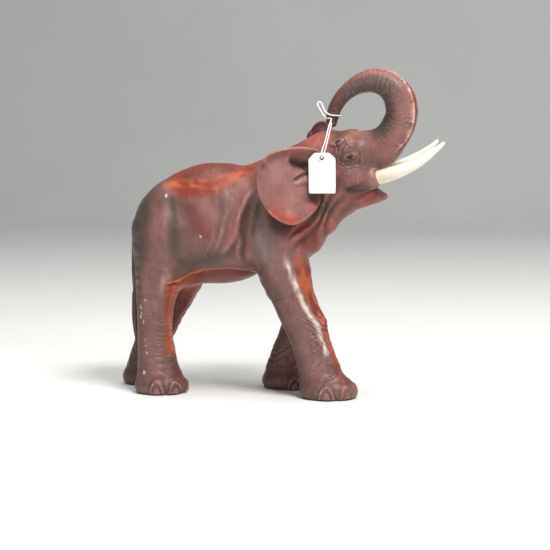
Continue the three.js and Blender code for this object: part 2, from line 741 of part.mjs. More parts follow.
const soles = hide.intersect(box([-300, -WIDE, 0], [300, WIDE, SOLE])).decompose();
const SOLES = {
  sole_front_right: [113, -35, 1],
  sole_front_left: [46, 35, 1],
  sole_rear_right: [-120, -35, 1],
  sole_rear_left: [-157, 35, 1],
};
addBodies(SOLES, soles, SOLE_COLOUR);

const besideHide = solidOf(grown(hideGeometry, GAP));
const onlyBody = (solid) => solid.decompose().reduce((a, b) => (b.volume() > a.volume() ? b : a));
addPiece("ear_right", onlyBody(ear(-1).subtract(besideHide)), HIDE_COLOUR);
addPiece("ear_left", onlyBody(ear(1).subtract(besideHide)), HIDE_COLOUR);
for (const [name, tusk] of Object.entries(tusks)) addPiece(name, solidOf(tusk), IVORY_COLOUR, 0.3);
addPiece("eye_right", eyeRight, EYE_COLOUR, 0.1);
addPiece("eye_left", eyeLeft, EYE_COLOUR, 0.1);
const tail = solidOf(carvedLimb(TAIL, 16, TAIL_CELL, 280));
const tuft = solidOf(carvedLimb(TUFT, 8, TAIL_CELL, 180));
addPiece("tail_leather", onlyBody(tail.subtract(besideHide)), HIDE_COLOUR);
addPiece("tail_tuft", onlyBody(tuft.subtract(besideHide)), HIDE_COLOUR);
addPiece("lot_ticket", card(), CARD_COLOUR);
addPiece("ticket_string", string(), STRING_COLOUR);

// The origin is under the middle of the elephant, on the ground.
const whole = new THREE.Box3();
for (const piece of group.children) if (piece.name !== "ticket_string") whole.expandByObject(piece);
const middle = whole.getCenter(v3());
group.position.set(-middle.x, -middle.y, 0);

export default group;
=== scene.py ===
"""Looks for the leather clad elephant: sculpted leather panels, ears, tusks, eyes, tail and ticket.

Shapes are made in the source's own millimetres, with the origin on the elephant's midline, X
towards the head, Y to its left and Z up. metres() takes them to the row frame.
"""

import math

import bpy
import numpy as np
import openvdb as vdb
from mathutils import Matrix, Vector


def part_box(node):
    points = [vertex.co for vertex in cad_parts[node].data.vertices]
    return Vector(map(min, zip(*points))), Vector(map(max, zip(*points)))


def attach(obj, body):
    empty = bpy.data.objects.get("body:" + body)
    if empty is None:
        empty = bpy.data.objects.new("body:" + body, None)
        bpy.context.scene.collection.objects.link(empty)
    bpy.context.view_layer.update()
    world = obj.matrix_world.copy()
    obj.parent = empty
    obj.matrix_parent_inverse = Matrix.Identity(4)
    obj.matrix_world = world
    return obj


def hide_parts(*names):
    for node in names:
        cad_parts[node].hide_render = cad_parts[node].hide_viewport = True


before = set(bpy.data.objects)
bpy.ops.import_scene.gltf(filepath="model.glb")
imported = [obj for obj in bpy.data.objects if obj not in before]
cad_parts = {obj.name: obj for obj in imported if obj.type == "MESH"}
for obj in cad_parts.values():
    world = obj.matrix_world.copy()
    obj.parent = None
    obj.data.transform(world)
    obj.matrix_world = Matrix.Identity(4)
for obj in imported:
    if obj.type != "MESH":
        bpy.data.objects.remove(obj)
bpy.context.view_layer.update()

BODY = "elephant"
TICKET_BODY = "ticket"

# ---------------------------------------------------------------- frame and camera

NECK_DOWEL_MIDDLE = (92, 0, 285)
SHIFT = np.mean([list(corner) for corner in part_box("neck_dowel")], axis=0)
SHIFT -= np.array(NECK_DOWEL_MIDDLE) / 1000

CAMERA = {"place": (543.3, -2033.5, 365.0), "azimuth": 14.0, "down": 5.6, "roll": 0.6, "lens": 101.6}


def metres(points):
    return np.asarray(points, float) / 1000 + SHIFT


def link_object(name, data):
    obj = bpy.data.objects.new(name, data)
    bpy.context.scene.collection.objects.link(obj)
    return obj


def add_camera():
    data = bpy.data.cameras.new("photo_camera")
    data.lens = CAMERA["lens"]
    data.clip_end = 30
    camera = link_object("photo_camera", data)
    azimuth, down, roll = (math.radians(CAMERA[k]) for k in ("azimuth", "down", "roll"))
    turn = Matrix.Rotation(azimuth, 4, "Z") @ Matrix.Rotation(math.pi / 2 - down, 4, "X")
    turn = turn @ Matrix.Rotation(-roll, 4, "Z")
    camera.matrix_world = Matrix.Translation(metres(CAMERA["place"])) @ turn
    bpy.context.scene.camera = camera


add_camera()

# ---------------------------------------------------------------- curves and mesh helpers


def catmull(points, shares, closed=False):
    """Points at those shares of a centripetal Catmull-Rom curve, as the source's curves run."""
    pts = [np.atleast_1d(np.asarray(p, float)) for p in points]
    n = len(pts)
    out = []
    for share in shares:
        place = (n if closed else n - 1) * share
        i = min(int(place), n - 1 if closed else n - 2)
        w = place - i
        if closed:
            p0, p1, p2, p3 = (pts[(i + k) % n] for k in (-1, 0, 1, 2))
        else:
            p1, p2 = pts[i], pts[i + 1]
            p0 = pts[i - 1] if i else 2 * p1 - p2
            p3 = pts[i + 2] if i + 2 < n else 2 * p2 - p1
        d0, d1, d2 = (float(np.sum((b - a) ** 2)) ** 0.25 for a, b in ((p0, p1), (p1, p2), (p2, p3)))
        d1 = d1 if d1 > 1e-4 else 1.0
        d0 = d0 if d0 > 1e-4 else d1
        d2 = d2 if d2 > 1e-4 else d1
        t1 = ((p1 - p0) / d0 - (p2 - p0) / (d0 + d1) + (p2 - p1) / d1) * d1
        t2 = ((p2 - p1) / d1 - (p3 - p1) / (d1 + d2) + (p3 - p2) / d2) * d1
        cubic = 2 * (p1 - p2) + t1 + t2
        out.append(p1 + w * (t1 + w * (3 * (p2 - p1) - 2 * t1 - t2 + w * cubic)))
    return np.array(out)


def smooth_stations(stations, steps):
    shares = np.linspace(0, 1, steps + 1)
    return np.hstack([catmull([s[:3] for s in stations], shares), catmull([s[3] for s in stations], shares)])


def step(value, low, high):
    """0 below low, 1 above high, and smooth between. With low over high it falls instead."""
    t = np.clip((value - low) / (high - low), 0, 1)
    return t * t * (3 - 2 * t)


def bump(value, middle, width):
    return np.exp(-(((value - middle) / width) ** 2))


def spot(x, z, radius):
    """1 at a place on the side, fading over `radius`, which is one size or one each way."""
    rx, rz = np.broadcast_to(radius, 2)
    return bump(np.hypot(x / rx, z / rz), 0, 1)


def columns(*parts):
    return np.column_stack(np.broadcast_arrays(*parts))


def noise(points, cells, seed):
    """Smooth noise from -1 to 1, with cells of that size along each column of points."""
    side = 32
    table = np.random.default_rng(seed).uniform(-1, 1, (side, side, side))
    q = np.asarray(points, float) / np.asarray(cells, float)
    base = np.floor(q).astype(int)
    f = q - base
    f = f * f * f * (f * (6 * f - 15) + 10)
    total = np.zeros(len(q))
    for corner in range(8):
        c = np.array([corner & 1, corner >> 1 & 1, corner >> 2])
        share = np.prod(np.where(c, f, 1 - f), axis=1)
        i, j, k = ((base + c) % side).T
        total += share * table[i, j, k]
    return total


def cloud(points, cells, seed, middle=0.5, gain=0.9):
    """Noise as a mask from 0 to 1."""
    return np.clip(middle + gain * noise(points, cells, seed), 0, 1)


def grooves(along, points, period, seed, gap=0.35):
    """Fine grooves across a limb, one each `period`, wandering and fading in and out."""
    cells = (16, 16, period * 2.4)
    phase = along / period + 0.75 * noise(points, cells, seed)
    phase += 0.3 * noise(points, (6, 6, period), seed + 1)
    line = (0.5 + 0.5 * np.cos(2 * math.pi * phase)) ** 3
    return line * cloud(points, (11, 11, period * 3), seed + 2, gap)


def polyline(px, pz, line):
    """Distance to a line in X and Z, and how far along it, from 0 to 1."""
    line = np.asarray(line, float)
    lengths = np.linalg.norm(np.diff(line, axis=0), axis=1)
    start = np.concatenate([[0], np.cumsum(lengths)])
    best = np.full(len(px), 1e9)
    along = np.zeros(len(px))
    for a, b, length, before in zip(line[:-1], line[1:], lengths, start):
        dx, dz = (b - a) / length
        t = np.clip((px - a[0]) * dx + (pz - a[1]) * dz, 0, length)
        away = np.hypot(px - a[0] - t * dx, pz - a[1] - t * dz)
        along = np.where(away < best, (before + t) / start[-1], along)
        best = np.minimum(best, away)
    return best, along


def stroke(at, line, width, taper=0.18):
    """1 on a drawn line on the elephant's side, fading over `width` and towards both ends."""
    away, along = polyline(at["x"], at["z"], line)
    ends = step(np.minimum(along, 1 - along), 0, taper) if taper else 1
    return np.exp(-((away / width) ** 2)) * ends


def moved(line, dx, dz=0):
    return [(x + dx, z + dz) for x, z in line]


def mix(a, b, share):
    """Between two dyes, or between each point's dye and another."""
    a = np.asarray(a)
    return a + (np.asarray(b) - a) * np.asarray(share)[..., None]


def carve(at, strokes):
    """The height of some strokes together. Each has its height, line, width and perhaps taper."""
    return sum(height * stroke(at, line, *size) for height, line, *size in strokes)


def paint(colour, at, strokes, mask=1.0):
    """Strokes of colour in turn: dyes, and painted shade and highlights where noted. Each has its colour,
    strength, line, width and perhaps taper.
    """
    for tint, strength, line, *size in strokes:
        colour = mix(colour, tint, strength * mask * stroke(at, line, *size))
    return colour


def unit(vectors):
    return vectors / np.maximum(np.linalg.norm(vectors, axis=-1, keepdims=True), 1e-12)


def vertex_normals(points, faces):
    """Normals from the whole surface, so that panels split from it still shade as one."""
    faces = np.asarray(faces)
    a, b = points[faces[:, 2]] - points[faces[:, 0]], points[faces[:, -1]] - points[faces[:, 1]]
    across = np.cross(a, b)
    normals = np.zeros_like(points)
    for column in faces.T:
        np.add.at(normals, column, across)
    return unit(normals)


def make_piece(name, points, faces, values=None, normals=None):
    """A smooth mesh object from millimetres. values: vertex attributes, colours or numbers."""
    mesh = bpy.data.meshes.new(name)
    mesh.from_pydata(metres(points).tolist(), [], [list(map(int, f)) for f in faces])
    mesh.polygons.foreach_set("use_smooth", np.ones(len(mesh.polygons), bool))
    for key, value in (values or {}).items():
        value = np.asarray(value, np.float32)
        if value.ndim == 2:
            rgba = np.column_stack([value, np.ones(len(value), np.float32)])
            mesh.attributes.new(key, "FLOAT_COLOR", "POINT").data.foreach_set("color", rgba.ravel())
        else:
            mesh.attributes.new(key, "FLOAT", "POINT").data.foreach_set("value", value)
    if normals is not None:
        mesh.normals_split_custom_set_from_vertices(normals.tolist())
    mesh.update()
    return link_object(name, mesh)


def finish_piece(obj, material, node, body=BODY):
    obj.data.materials.append(material)
    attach(obj, body)
    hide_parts(node)
    return obj


def ring_frames(path, up=(0, 0, 1)):
    """Two directions across each point of a path, carried along it without twisting."""
    tangent = unit(np.gradient(np.asarray(path, float), axis=0))
    side = np.cross(tangent[0], up)
    sides = []
    for t in tangent:
        side = unit(side - t * (side @ t))
        sides.append(side)
    sides = np.array(sides)
    return sides, np.cross(sides, tangent)


def circle(count, start=0.0):
    return (np.arange(count) + start) / count * 2 * math.pi


def ring_quads(rings, around, start=0):
    """Quads between rings of points that follow each other, each ring closed on itself."""
    i, j = np.meshgrid(np.arange(rings - 1), np.arange(around), indexing="ij")
    right = (j + 1) % around
    corners = [i * around + j, i * around + right, (i + 1) * around + right, (i + 1) * around + j]
    return (np.stack(corners, -1).reshape(-1, 4) + start).tolist()


def fan(tip, start, around):
    """Triangles from one point to a ring, wound to follow ring_quads."""
    return [[tip, start + (k + 1) % around, start + k] for k in range(around)]


def flipped(faces):
    return [f[::-1] for f in faces]


def tube(path, radii, around=16):
    """Points, faces, share along and angle of a closed tube of changing radius."""
    path = np.asarray(path, float)
    side, up = ring_frames(path)
    angle = circle(around)
    rim = np.cos(angle)[None, :, None] * side[:, None] + np.sin(angle)[None, :, None] * up[:, None]
    n = len(path)
    rings = path[:, None] + rim * np.broadcast_to(radii, n)[:, None, None]
    points = np.vstack([rings.reshape(-1, 3), path[0], path[-1]])
    far_cap = [[tip, b, a] for tip, a, b in fan(n * around + 1, (n - 1) * around, around)]
    faces = ring_quads(n, around) + fan(n * around, 0, around) + far_cap
    along = np.append(np.repeat(np.linspace(0, 1, n), around), [0, 1])
    return points, faces, along, np.append(np.tile(angle, n), [0, 0])


# ---------------------------------------------------------------- materials


class Nodes:
    """A few short calls for building a material's nodes."""

    def __init__(self, name):
        self.material = bpy.data.materials.new(name)
        self.material.use_nodes = True
        self.tree = self.material.node_tree
        self.shader = self.tree.nodes["Principled BSDF"]
        self.place = self.add("ShaderNodeTexCoord").outputs["Object"]

    def add(self, kind, **settings):
        node = self.tree.nodes.new(kind)
        for key, value in settings.items():
            setattr(node, key, value)
        return node

    def put(self, socket, value):
        if hasattr(value, "is_output"):
            self.tree.links.new(value, socket)
        else:
            socket.default_value = value

    def attribute(self, name, output="Fac"):
        return self.add("ShaderNodeAttribute", attribute_name=name).outputs[output]

    def stretched(self, scale):
        node = self.add("ShaderNodeMapping")
        self.put(node.inputs["Vector"], self.place)
        node.inputs["Scale"].default_value = scale
        return node.outputs["Vector"]

    def noise(self, scale, detail=4, rough=0.55, vector=None, distort=0.0):
        node = self.add("ShaderNodeTexNoise")
        self.put(node.inputs["Vector"], vector or self.place)
        settings = {"Scale": scale, "Detail": detail, "Roughness": rough, "Distortion": distort}
        for key, value in settings.items():
            node.inputs[key].default_value = value
        return node.outputs["Fac"]

    def cells(self, scale, feature="F1"):
        node = self.add("ShaderNodeTexVoronoi", feature=feature)
        self.put(node.inputs["Vector"], self.place)
        node.inputs["Scale"].default_value = scale
        return node.outputs["Distance"]

    def math(self, operation, a, b=0.0, clamp=False):
        node = self.add("ShaderNodeMath", operation=operation, use_clamp=clamp)
        self.put(node.inputs[0], a)
        self.put(node.inputs[1], b)
        return node.outputs[0]

    def span(self, value, low, high, out_low=0.0, out_high=1.0):
        node = self.add("ShaderNodeMapRange", clamp=True)
        for socket, v in zip(node.inputs[:5], (value, low, high, out_low, out_high)):
            self.put(socket, v)
        return node.outputs["Result"]

    def mix(self, share, a, b, blend="MIX"):
        node = self.add("ShaderNodeMix", data_type="RGBA", blend_type=blend)
        self.put(node.inputs["Factor"], share)
        for socket, colour in zip(node.inputs[6:8], (a, b)):  # the colour sockets A and B
            self.put(socket, (*colour, 1) if isinstance(colour, tuple) else colour)
        return node.outputs[2]

    def bumps(self, height, distance, strength=1.0):
        node = self.add("ShaderNodeBump")
        self.put(node.inputs["Height"], height)
        node.inputs["Distance"].default_value = distance
        node.inputs["Strength"].default_value = strength
        return node.outputs["Normal"]

    def finish(self, colour, roughness, normal=None, **fixed):
        self.put(self.shader.inputs["Base Color"], colour)
        self.put(self.shader.inputs["Roughness"], roughness)
        if normal is not None:
            self.put(self.shader.inputs["Normal"], normal)
        for key, value in fixed.items():
            self.shader.inputs[key.replace("_", " ")].default_value = value
        return self.material


def leather_material(name, grain=1.0, gloss=0.0, scuff_and_highlight=1.0):
    """Dyed leather: colour from the panel's vertex colours, darker in creases (partly the antique finish,
    partly painted shade) and rubbed pale along ridges (partly scuffing, partly a painted highlight).
    """
    m = Nodes(name)
    dye_and_shading = m.attribute("dye_and_shading", "Color")
    mottle = m.noise(95, 5, 0.62, distort=0.6)
    fine = m.noise(520, 4, 0.6)
    colour = m.mix(m.span(mottle, 0.35, 0.7, 0, 0.42), dye_and_shading, (0.62, 0.55, 0.52), "MULTIPLY")
    colour = m.mix(m.span(fine, 0.52, 0.8, 0, 0.16), colour, (0.42, 0.2, 0.17))
    streak = m.noise(34, 5, 0.6, m.stretched((2.6, 2.6, 0.55)), 0.8)
    colour = m.mix(m.span(streak, 0.5, 0.72, 0, 0.42), colour, (0.062, 0.046, 0.037))
    # Darker in creases: partly the antique finish, partly painted shade.
    crease = m.math("MULTIPLY", m.attribute("crease_antique_and_shade"), m.span(fine, 0.2, 0.6, 0.75, 1.0))
    colour = m.mix(m.math("MULTIPLY", crease, 0.5), colour, (0.03, 0.016, 0.013))
    # Paler on proud ridges: partly rubbed scuffing, partly a painted highlight.
    rubbed = m.span(m.noise(240, 4, 0.7), 0.38, 0.62)
    wear_and_highlight = m.math("MULTIPLY", m.attribute("wear_and_highlight"), rubbed)
    colour = m.mix(m.math("MULTIPLY", wear_and_highlight, 0.5 * scuff_and_highlight), colour, (0.6, 0.4, 0.35))
    pores = m.cells(1150 * grain)
    crackle = m.cells(420 * grain, "DISTANCE_TO_EDGE")
    height = m.math("ADD", m.math("MULTIPLY", pores, 0.35), m.span(crackle, 0.0, 0.12, 0, 0.35))
    height = m.math("ADD", height, m.math("MULTIPLY", m.noise(330, 6, 0.65), 0.9))
    normal = m.bumps(height, 0.00045, 0.55)
    rough = m.span(m.noise(150, 4), 0.3, 0.7, 0.31 - gloss, 0.5 - gloss)
    rough = m.math("ADD", rough, m.math("MULTIPLY", crease, 0.25), clamp=True)
    return m.finish(colour, rough, normal, Specular_IOR_Level=0.34, Coat_Weight=0.06, Coat_Roughness=0.3)


def wood_material(name, pale, dark):
    m = Nodes(name)
    rings = m.noise(26, 4, 0.6, m.stretched((6, 6, 0.7)), 1.2)
    fibre = m.noise(300, 3, 0.6, m.stretched((5, 5, 0.4)))
    colour = m.mix(m.span(rings, 0.35, 0.65), pale, dark)
    colour = m.mix(m.span(fibre, 0.4, 0.75, 0, 0.5), colour, dark)
    return m.finish(colour, m.span(fibre, 0.3, 0.7, 0.5, 0.72), m.bumps(fibre, 0.0003, 0.6))


def tusk_material():
    m = Nodes("cast_ivory_resin")
    root = m.attribute("root")
    grain = m.noise(210, 4, 0.6, m.stretched((0.5, 2.2, 1.4)))
    colour = m.mix(m.span(grain, 0.35, 0.7, 0, 0.5), (0.82, 0.8, 0.72), (0.74, 0.7, 0.58))
    colour = m.mix(m.math("MULTIPLY", root, 0.75), colour, (0.62, 0.53, 0.36))
    stain = m.span(m.noise(130, 5, 0.7), 0.56, 0.74, 0, 0.35)
    colour = m.mix(stain, colour, (0.66, 0.6, 0.48))
    return m.finish(colour, m.span(grain, 0.3, 0.7, 0.22, 0.36), m.bumps(grain, 0.0002, 0.35),
                    Coat_Weight=0.25, Coat_Roughness=0.15)


def eye_material():
    m = Nodes("eye_glass_brown")
    iris = m.attribute("iris")
    fleck = m.noise(900, 3, 0.6)
    ring = m.mix(m.span(fleck, 0.35, 0.65), (0.06, 0.022, 0.01), (0.14, 0.055, 0.02))
    colour = m.mix(m.span(iris, 0.4, 0.5), (0.006, 0.005, 0.005), ring)
    colour = m.mix(m.span(iris, 0.8, 0.92), colour, (0.03, 0.015, 0.01))
    return m.finish(colour, 0.2, m.bumps(fleck, 0.00002, 0.2), Specular_IOR_Level=0.25,
                    Coat_Weight=0.12, Coat_Roughness=0.08)


def paper_material():
    m = Nodes("ticket_card")
    fibre = m.noise(1500, 5, 0.7)
    cloud = m.noise(70, 3, 0.5)
    colour = m.mix(m.span(cloud, 0.35, 0.7), (0.84, 0.835, 0.82), (0.8, 0.79, 0.77))
    colour = m.mix(m.span(m.attribute("rim"), 0.5, 1, 0, 0.35), colour, (0.7, 0.68, 0.64))
    return m.finish(colour, m.span(fibre, 0.3, 0.7, 0.6, 0.75), m.bumps(fibre, 0.00006, 0.5))


def cotton_material():
    m = Nodes("ticket_cotton")
    fibre = m.noise(2600, 3, 0.7)
    colour = m.mix(m.span(fibre, 0.35, 0.7), (0.9, 0.88, 0.85), (0.72, 0.69, 0.65))
    return m.finish(colour, m.span(fibre, 0.3, 0.7, 0.75, 0.9), m.bumps(fibre, 0.00015, 0.8))


def floor_material():
    m = Nodes("pale_floor")
    cloud = m.noise(2.2, 3, 0.5)
    colour = m.mix(m.span(cloud, 0.3, 0.7), (0.8, 0.8, 0.785), (0.76, 0.76, 0.745))
    return m.finish(colour, m.span(m.noise(60, 3), 0.3, 0.7, 0.45, 0.6))


HIDE = leather_material("dyed_hide")
EAR_LEATHER = leather_material("ear_leather", 1.0, 0.06, 0.7)
TAIL_LEATHER = leather_material("tail_leather", 1.2)
TUSK = tusk_material()
EYE_GLASS = eye_material()
CARD_PAPER = paper_material()
COTTON = cotton_material()
CORE_WOOD = wood_material("core_wood", (0.5, 0.32, 0.17), (0.34, 0.19, 0.09))
DOWEL_WOOD = wood_material("dowel_wood", (0.66, 0.5, 0.3), (0.52, 0.36, 0.19))

# ---------------------------------------------------------------- ticket and its string

STRING = {"diameter": 2.0, "strand": 0.6, "apart": 0.42, "pitch": 4.6, "samples": 360, "around": 7}
HITCH = {"middle": (120.6, -14.4, 374.4), "radius": 10.5, "fall": 5.0, "points": 8}
CARD = {"width": 36, "height": 53, "thickness": 0.6, "shoulder": 8, "hole": 3.0, "drop": 6.5,
        "corner": 1.8, "around": 96}
CARD_HANGS = (114, -52.3, 319)
CARD_RINGS = np.array([0, 0.03, 0.2, 0.4, 0.6, 0.8, 0.985, 1])


def string_route():
    """The source's route: a loose loop, one turn round the trunk's tip, and down through the card."""
    loop = [(112.5, -27, 372), (106.5, -23.5, 380.5), (101.6, -19.5, 388.5), (103.4, -18.2, 392),
            (106.6, -18.6, 390), (110, -21.6, 383.5), (114.6, -25.4, 377.5)]
    x, y, z = HITCH["middle"]
    turn = []
    for share in np.arange(HITCH["points"] + 1) / HITCH["points"]:
        angle = -math.pi / 2 + share * 2 * math.pi
        turn.append((x + HITCH["radius"] * math.cos(angle), y + HITCH["radius"] * math.sin(angle),
                     z - share * HITCH["fall"]))
    down = [(118.6, -31, 359), (116.4, -41, 342), (114.2, -52.3, 329), (113.7, -56.4, 322.6)]
    through = [(113.8, -55.4, 319.5), (114, -52.3, 318.9), (114.2, -49.2, 319.5)]
    up = [(114.7, -47.6, 322.6), (116.8, -45, 330), (119.2, -39.4, 343), (121.2, -31, 358),
          (121.9, -27.4, 364)]
    return catmull(loop + turn + down + through + up, np.linspace(0, 1, STRING["samples"]))


def make_string(card):
    path = string_route()
    arc = np.concatenate([[0], np.cumsum(np.linalg.norm(np.diff(path, axis=0), axis=1))])
    side, up = ring_frames(path, (0, 1, 0))
    points, faces = [], []
    for strand in (0, 1):
        turn = (arc / STRING["pitch"] * 2 * math.pi + strand * math.pi)[:, None]
        middle = path + STRING["apart"] * (np.cos(turn) * side + np.sin(turn) * up)
        more, quads = tube(middle, STRING["strand"], STRING["around"])[:2]
        faces += [[v + len(points) * len(more) for v in q] for q in quads]
        points.append(more)
    obj = make_piece("ticket_string_twist", np.vstack(points), faces)
    finish_piece(obj, COTTON, "ticket_string")


def card_outline():
    """The card's rounded corners, as [x, z] from the hole's middle."""
    half, top, bottom = CARD["width"] / 2, CARD["drop"], CARD["drop"] - CARD["height"]
    shoulder = CARD["shoulder"]
    corners = np.array([[-half, bottom], [half, bottom], [half, top - shoulder], [half - shoulder, top],
                        [shoulder - half, top], [-half, top - shoulder]])
    rounded = []
    for i, corner in enumerate(corners):
        a = corner + unit(corners[i - 1] - corner) * CARD["corner"]
        b = corner + unit(corners[(i + 1) % len(corners)] - corner) * CARD["corner"]
        rounded += [(1 - t) ** 2 * a + 2 * t * (1 - t) * corner + t * t * b for t in np.linspace(0, 1, 6)]
    return np.array(rounded)


def card_edge(angles):
    """Where the outline lies in each direction from the hole, which is single valued here."""
    rim = card_outline()
    angle = np.arctan2(rim[:, 1], rim[:, 0])
    order = np.argsort(angle)
    a, r = angle[order], rim[order]
    a = np.concatenate([[a[-1] - 2 * math.pi], a, [a[0] + 2 * math.pi]])
    r = np.vstack([r[-1], r, r[0]])
    edge = []
    for w in angles:
        i = np.searchsorted(a, w)
        p, q = r[i - 1], r[i]
        d = np.array([math.cos(w), math.sin(w)])
        edge.append(d * np.linalg.solve(np.array([d, p - q]).T, p)[0])
    return np.array(edge)


def make_card():
    count = CARD["around"]
    angles = circle(count, 0.5) - math.pi
    edge = card_edge(angles)
    hole = CARD["hole"] * np.column_stack([np.cos(angles), np.sin(angles)])
    half = CARD["thickness"] / 2
    rings, rims = [], []
    for face in (1, -1):
        for share in CARD_RINGS if face > 0 else CARD_RINGS[::-1]:
            at_edge = share in (0, 1)
            x, z = (hole + (edge - hole) * share).T
            curl = 0.5 * (x / 18) ** 2 + 0.35 * np.sin(z / 17)
            rings.append(np.column_stack([x, -face * half * (0.55 if at_edge else 1) - curl * 0.6, z]))
            rims.append(np.full(count, float(at_edge)))
    points = np.vstack(rings) + np.array(CARD_HANGS) + (0, -half, 0)
    faces = [[v % len(points) for v in (a, d, c, b)] for a, b, c, d in ring_quads(len(rings) + 1, count)]
    obj = make_piece("lot_ticket_card", points, faces, {"rim": np.concatenate(rims)})
    return finish_piece(obj, CARD_PAPER, "lot_ticket", TICKET_BODY)


make_string(make_card())

# ---------------------------------------------------------------- the sculpted form, as a distance field

HEAD_ROLL = math.radians(10)
HEAD_PIVOT_Z = 290
FOOT_SPREAD = 35
LEG_WIDTH = 0.84
ROLL_COS, ROLL_SIN = math.cos(HEAD_ROLL), math.sin(HEAD_ROLL)

LEGS = {  # side, how far out its top is, the foot's place and half length, and [x, z, radius] down it
    "front_right": (-1, 34, (117, 39), [(48, 215, 34), (58, 168, 35), (71, 128, 28), (85, 98, 27.5),
                                        (94, 70, 26), (107, 29, 28.5)]),
    "front_left": (1, 34, (46, 38), [(44, 215, 32), (45, 168, 31), (55, 130, 27), (65, 100, 25),
                                     (57, 72, 24.5), (43, 30, 28)]),
    "rear_right": (-1, 32, (-117, 37), [(-108, 215, 46), (-115, 172, 36), (-122, 134, 28), (-124, 99, 24),
                                        (-124, 68, 25), (-120, 30, 29)]),
    "rear_left": (1, 32, (-160, 36), [(-104, 215, 46), (-106, 168, 37), (-119, 130, 29), (-137, 96, 26),
                                      (-150, 64, 25), (-159, 30, 29)]),
}
TRUNK = [
    (168, 0, 326, 25), (182, 0, 331, 23.5), (195, 0, 342, 22.5), (206, 0, 357, 22), (212, 0, 372, 21.5),
    (213, 0, 387, 21), (209, 0, 401, 20), (200, 0, 412, 18.5), (188, 0, 418.5, 16.8), (174, 0, 420, 14.8),
    (159, 0, 416.5, 12.8), (145, 0, 409, 11), (133, 0, 398, 9.6), (124, 0, 384, 8.6), (119, 0, 367, 7.6),
]
TRUNK_LINE = smooth_stations(TRUNK, 42)
TRUNK_ROOT_STEPS = 15


def smooth_min(a, b, k):
    h = np.maximum(k - np.abs(a - b), 0) / k
    return np.minimum(a, b) - h * h * k * 0.25


def smooth_max(a, b, k):
    return -smooth_min(-a, -b, k)


def ellipsoid(centre, radii, tilt=0.0):
    c, s = math.cos(tilt), math.sin(tilt)

    def field(p):
        dx, dy, dz = (p[:, i] - centre[i] for i in range(3))
        px, py, pz = (dx * c + dz * s) / radii[0], dy / radii[1], (dz * c - dx * s) / radii[2]
        near = np.sqrt(px**2 + py**2 + pz**2)
        slope = np.sqrt((px / radii[0]) ** 2 + (py / radii[1]) ** 2 + (pz / radii[2]) ** 2)
        return near * (near - 1) / np.maximum(slope, 1e-9)

    return field


def limb(stations, width=1.0):
    stations = np.array(stations, float)

    def field(p):
        best = np.full(len(p), 1e3)
        for a, b in zip(stations[:-1], stations[1:]):
            d = b[:3] - a[:3]
            q = p - a[:3]
            t = np.clip(q @ d / (d @ d), 0, 1)
            q = q - t[:, None] * d
            q[:, 1] /= width
            away = np.sqrt(np.einsum("ij,ij->i", q, q))
            best = np.minimum(best, away - a[3] - t * (b[3] - a[3]))
        return best * min(1, width + 0.1)

    return field


def blend(parts, k):
    def field(p):
        d = np.full(len(p), 1e3)
        for part in parts:
            d = smooth_min(d, part(p), k)
        return d

    return field


def within(part, low, high):
    """The same field, read only inside a box. Outside it the part is too far away to matter."""

    def field(p):
        d = np.full(len(p), 1e3)
        near = np.all((p >= low) & (p <= high), axis=1)
        if near.any():
            d[near] = part(p[near])
        return d

    return field


def both_sides(part):
    return lambda p: part(np.column_stack([p[:, 0], np.abs(p[:, 1]), p[:, 2]]))


torso = blend(
    [
        ellipsoid([-45, 0, 229], [100, 65, 82]),
        ellipsoid([-106, 0, 210], [57, 54, 73], 0.12),
        ellipsoid([28, 0, 242], [58, 52, 70]),
        both_sides(ellipsoid([-104, 32, 254], [28, 18, 26])),
        both_sides(limb([[44, 26, 282, 20], [34, 33, 235, 25], [28, 36, 200, 24]])),
        limb([[46, 0, 262, 52], [80, 0, 284, 51], [108, 0, 300, 44]], 0.8),
        limb([[62, 0, 206, 32], [72, 0, 217, 34], [92, 0, 243, 34], [126, 0, 274, 28]], 0.85),
    ],
    16,
)


def leg_line(name):
    side, top, _, line = LEGS[name]
    spread = [side * (top + (FOOT_SPREAD - top) * min(1, i / 3)) for i in range(len(line))]
    return smooth_stations([(x, y, z, r) for (x, z, r), y in zip(line, spread)], 14)


def leg_field(name):
    side, _, foot, _ = LEGS[name]
    line = leg_line(name)
    toes = ellipsoid([foot[0], side * FOOT_SPREAD, 10], [foot[1], foot[1] * LEG_WIDTH, 22])
    reach = 60
    low = [line[:, 0].min() - 2 * reach, -150 if side < 0 else -40, -30]
    high = [line[:, 0].max() + 2 * reach, 40 if side < 0 else 150, 300]
    return within(blend([limb(line, LEG_WIDTH), toes], 9), low, high)


legs = {name: leg_field(name) for name in LEGS}
skull = blend(
    [
        ellipsoid([108, 0, 308], [36, 39, 42]),
        limb([[128, 0, 322, 31], [160, 0, 326, 26], [182, 0, 330, 23]], 0.95),
        both_sides(ellipsoid([143, 22, 334], [17, 13, 16])),
        limb([[118, 0, 290, 36], [160, 0, 300, 23]], 0.95),
        both_sides(limb([[142, 17, 300, 17], [172, 21, 293, 12]])),
        limb(TRUNK_LINE[: TRUNK_ROOT_STEPS + 1]),
    ],
    12,
)
jaw = limb([[118, 0, 272, 30], [152, 0, 268, 18], [175, 0, 267, 10], [185, 0, 266, 5]], 1.05)
mouth = limb([[172, 0, 284, 3], [186, 0, 284, 9], [204, 0, 290, 16]], 1.5)
trunk_end = limb(TRUNK_LINE[TRUNK_ROOT_STEPS:])


def to_head(p):
    """From the leaning head to the upright one that its parts are given in."""
    dz = p[:, 2] - HEAD_PIVOT_Z
    y = p[:, 1] * ROLL_COS + dz * ROLL_SIN
    return np.column_stack([p[:, 0], y, HEAD_PIVOT_Z - p[:, 1] * ROLL_SIN + dz * ROLL_COS])


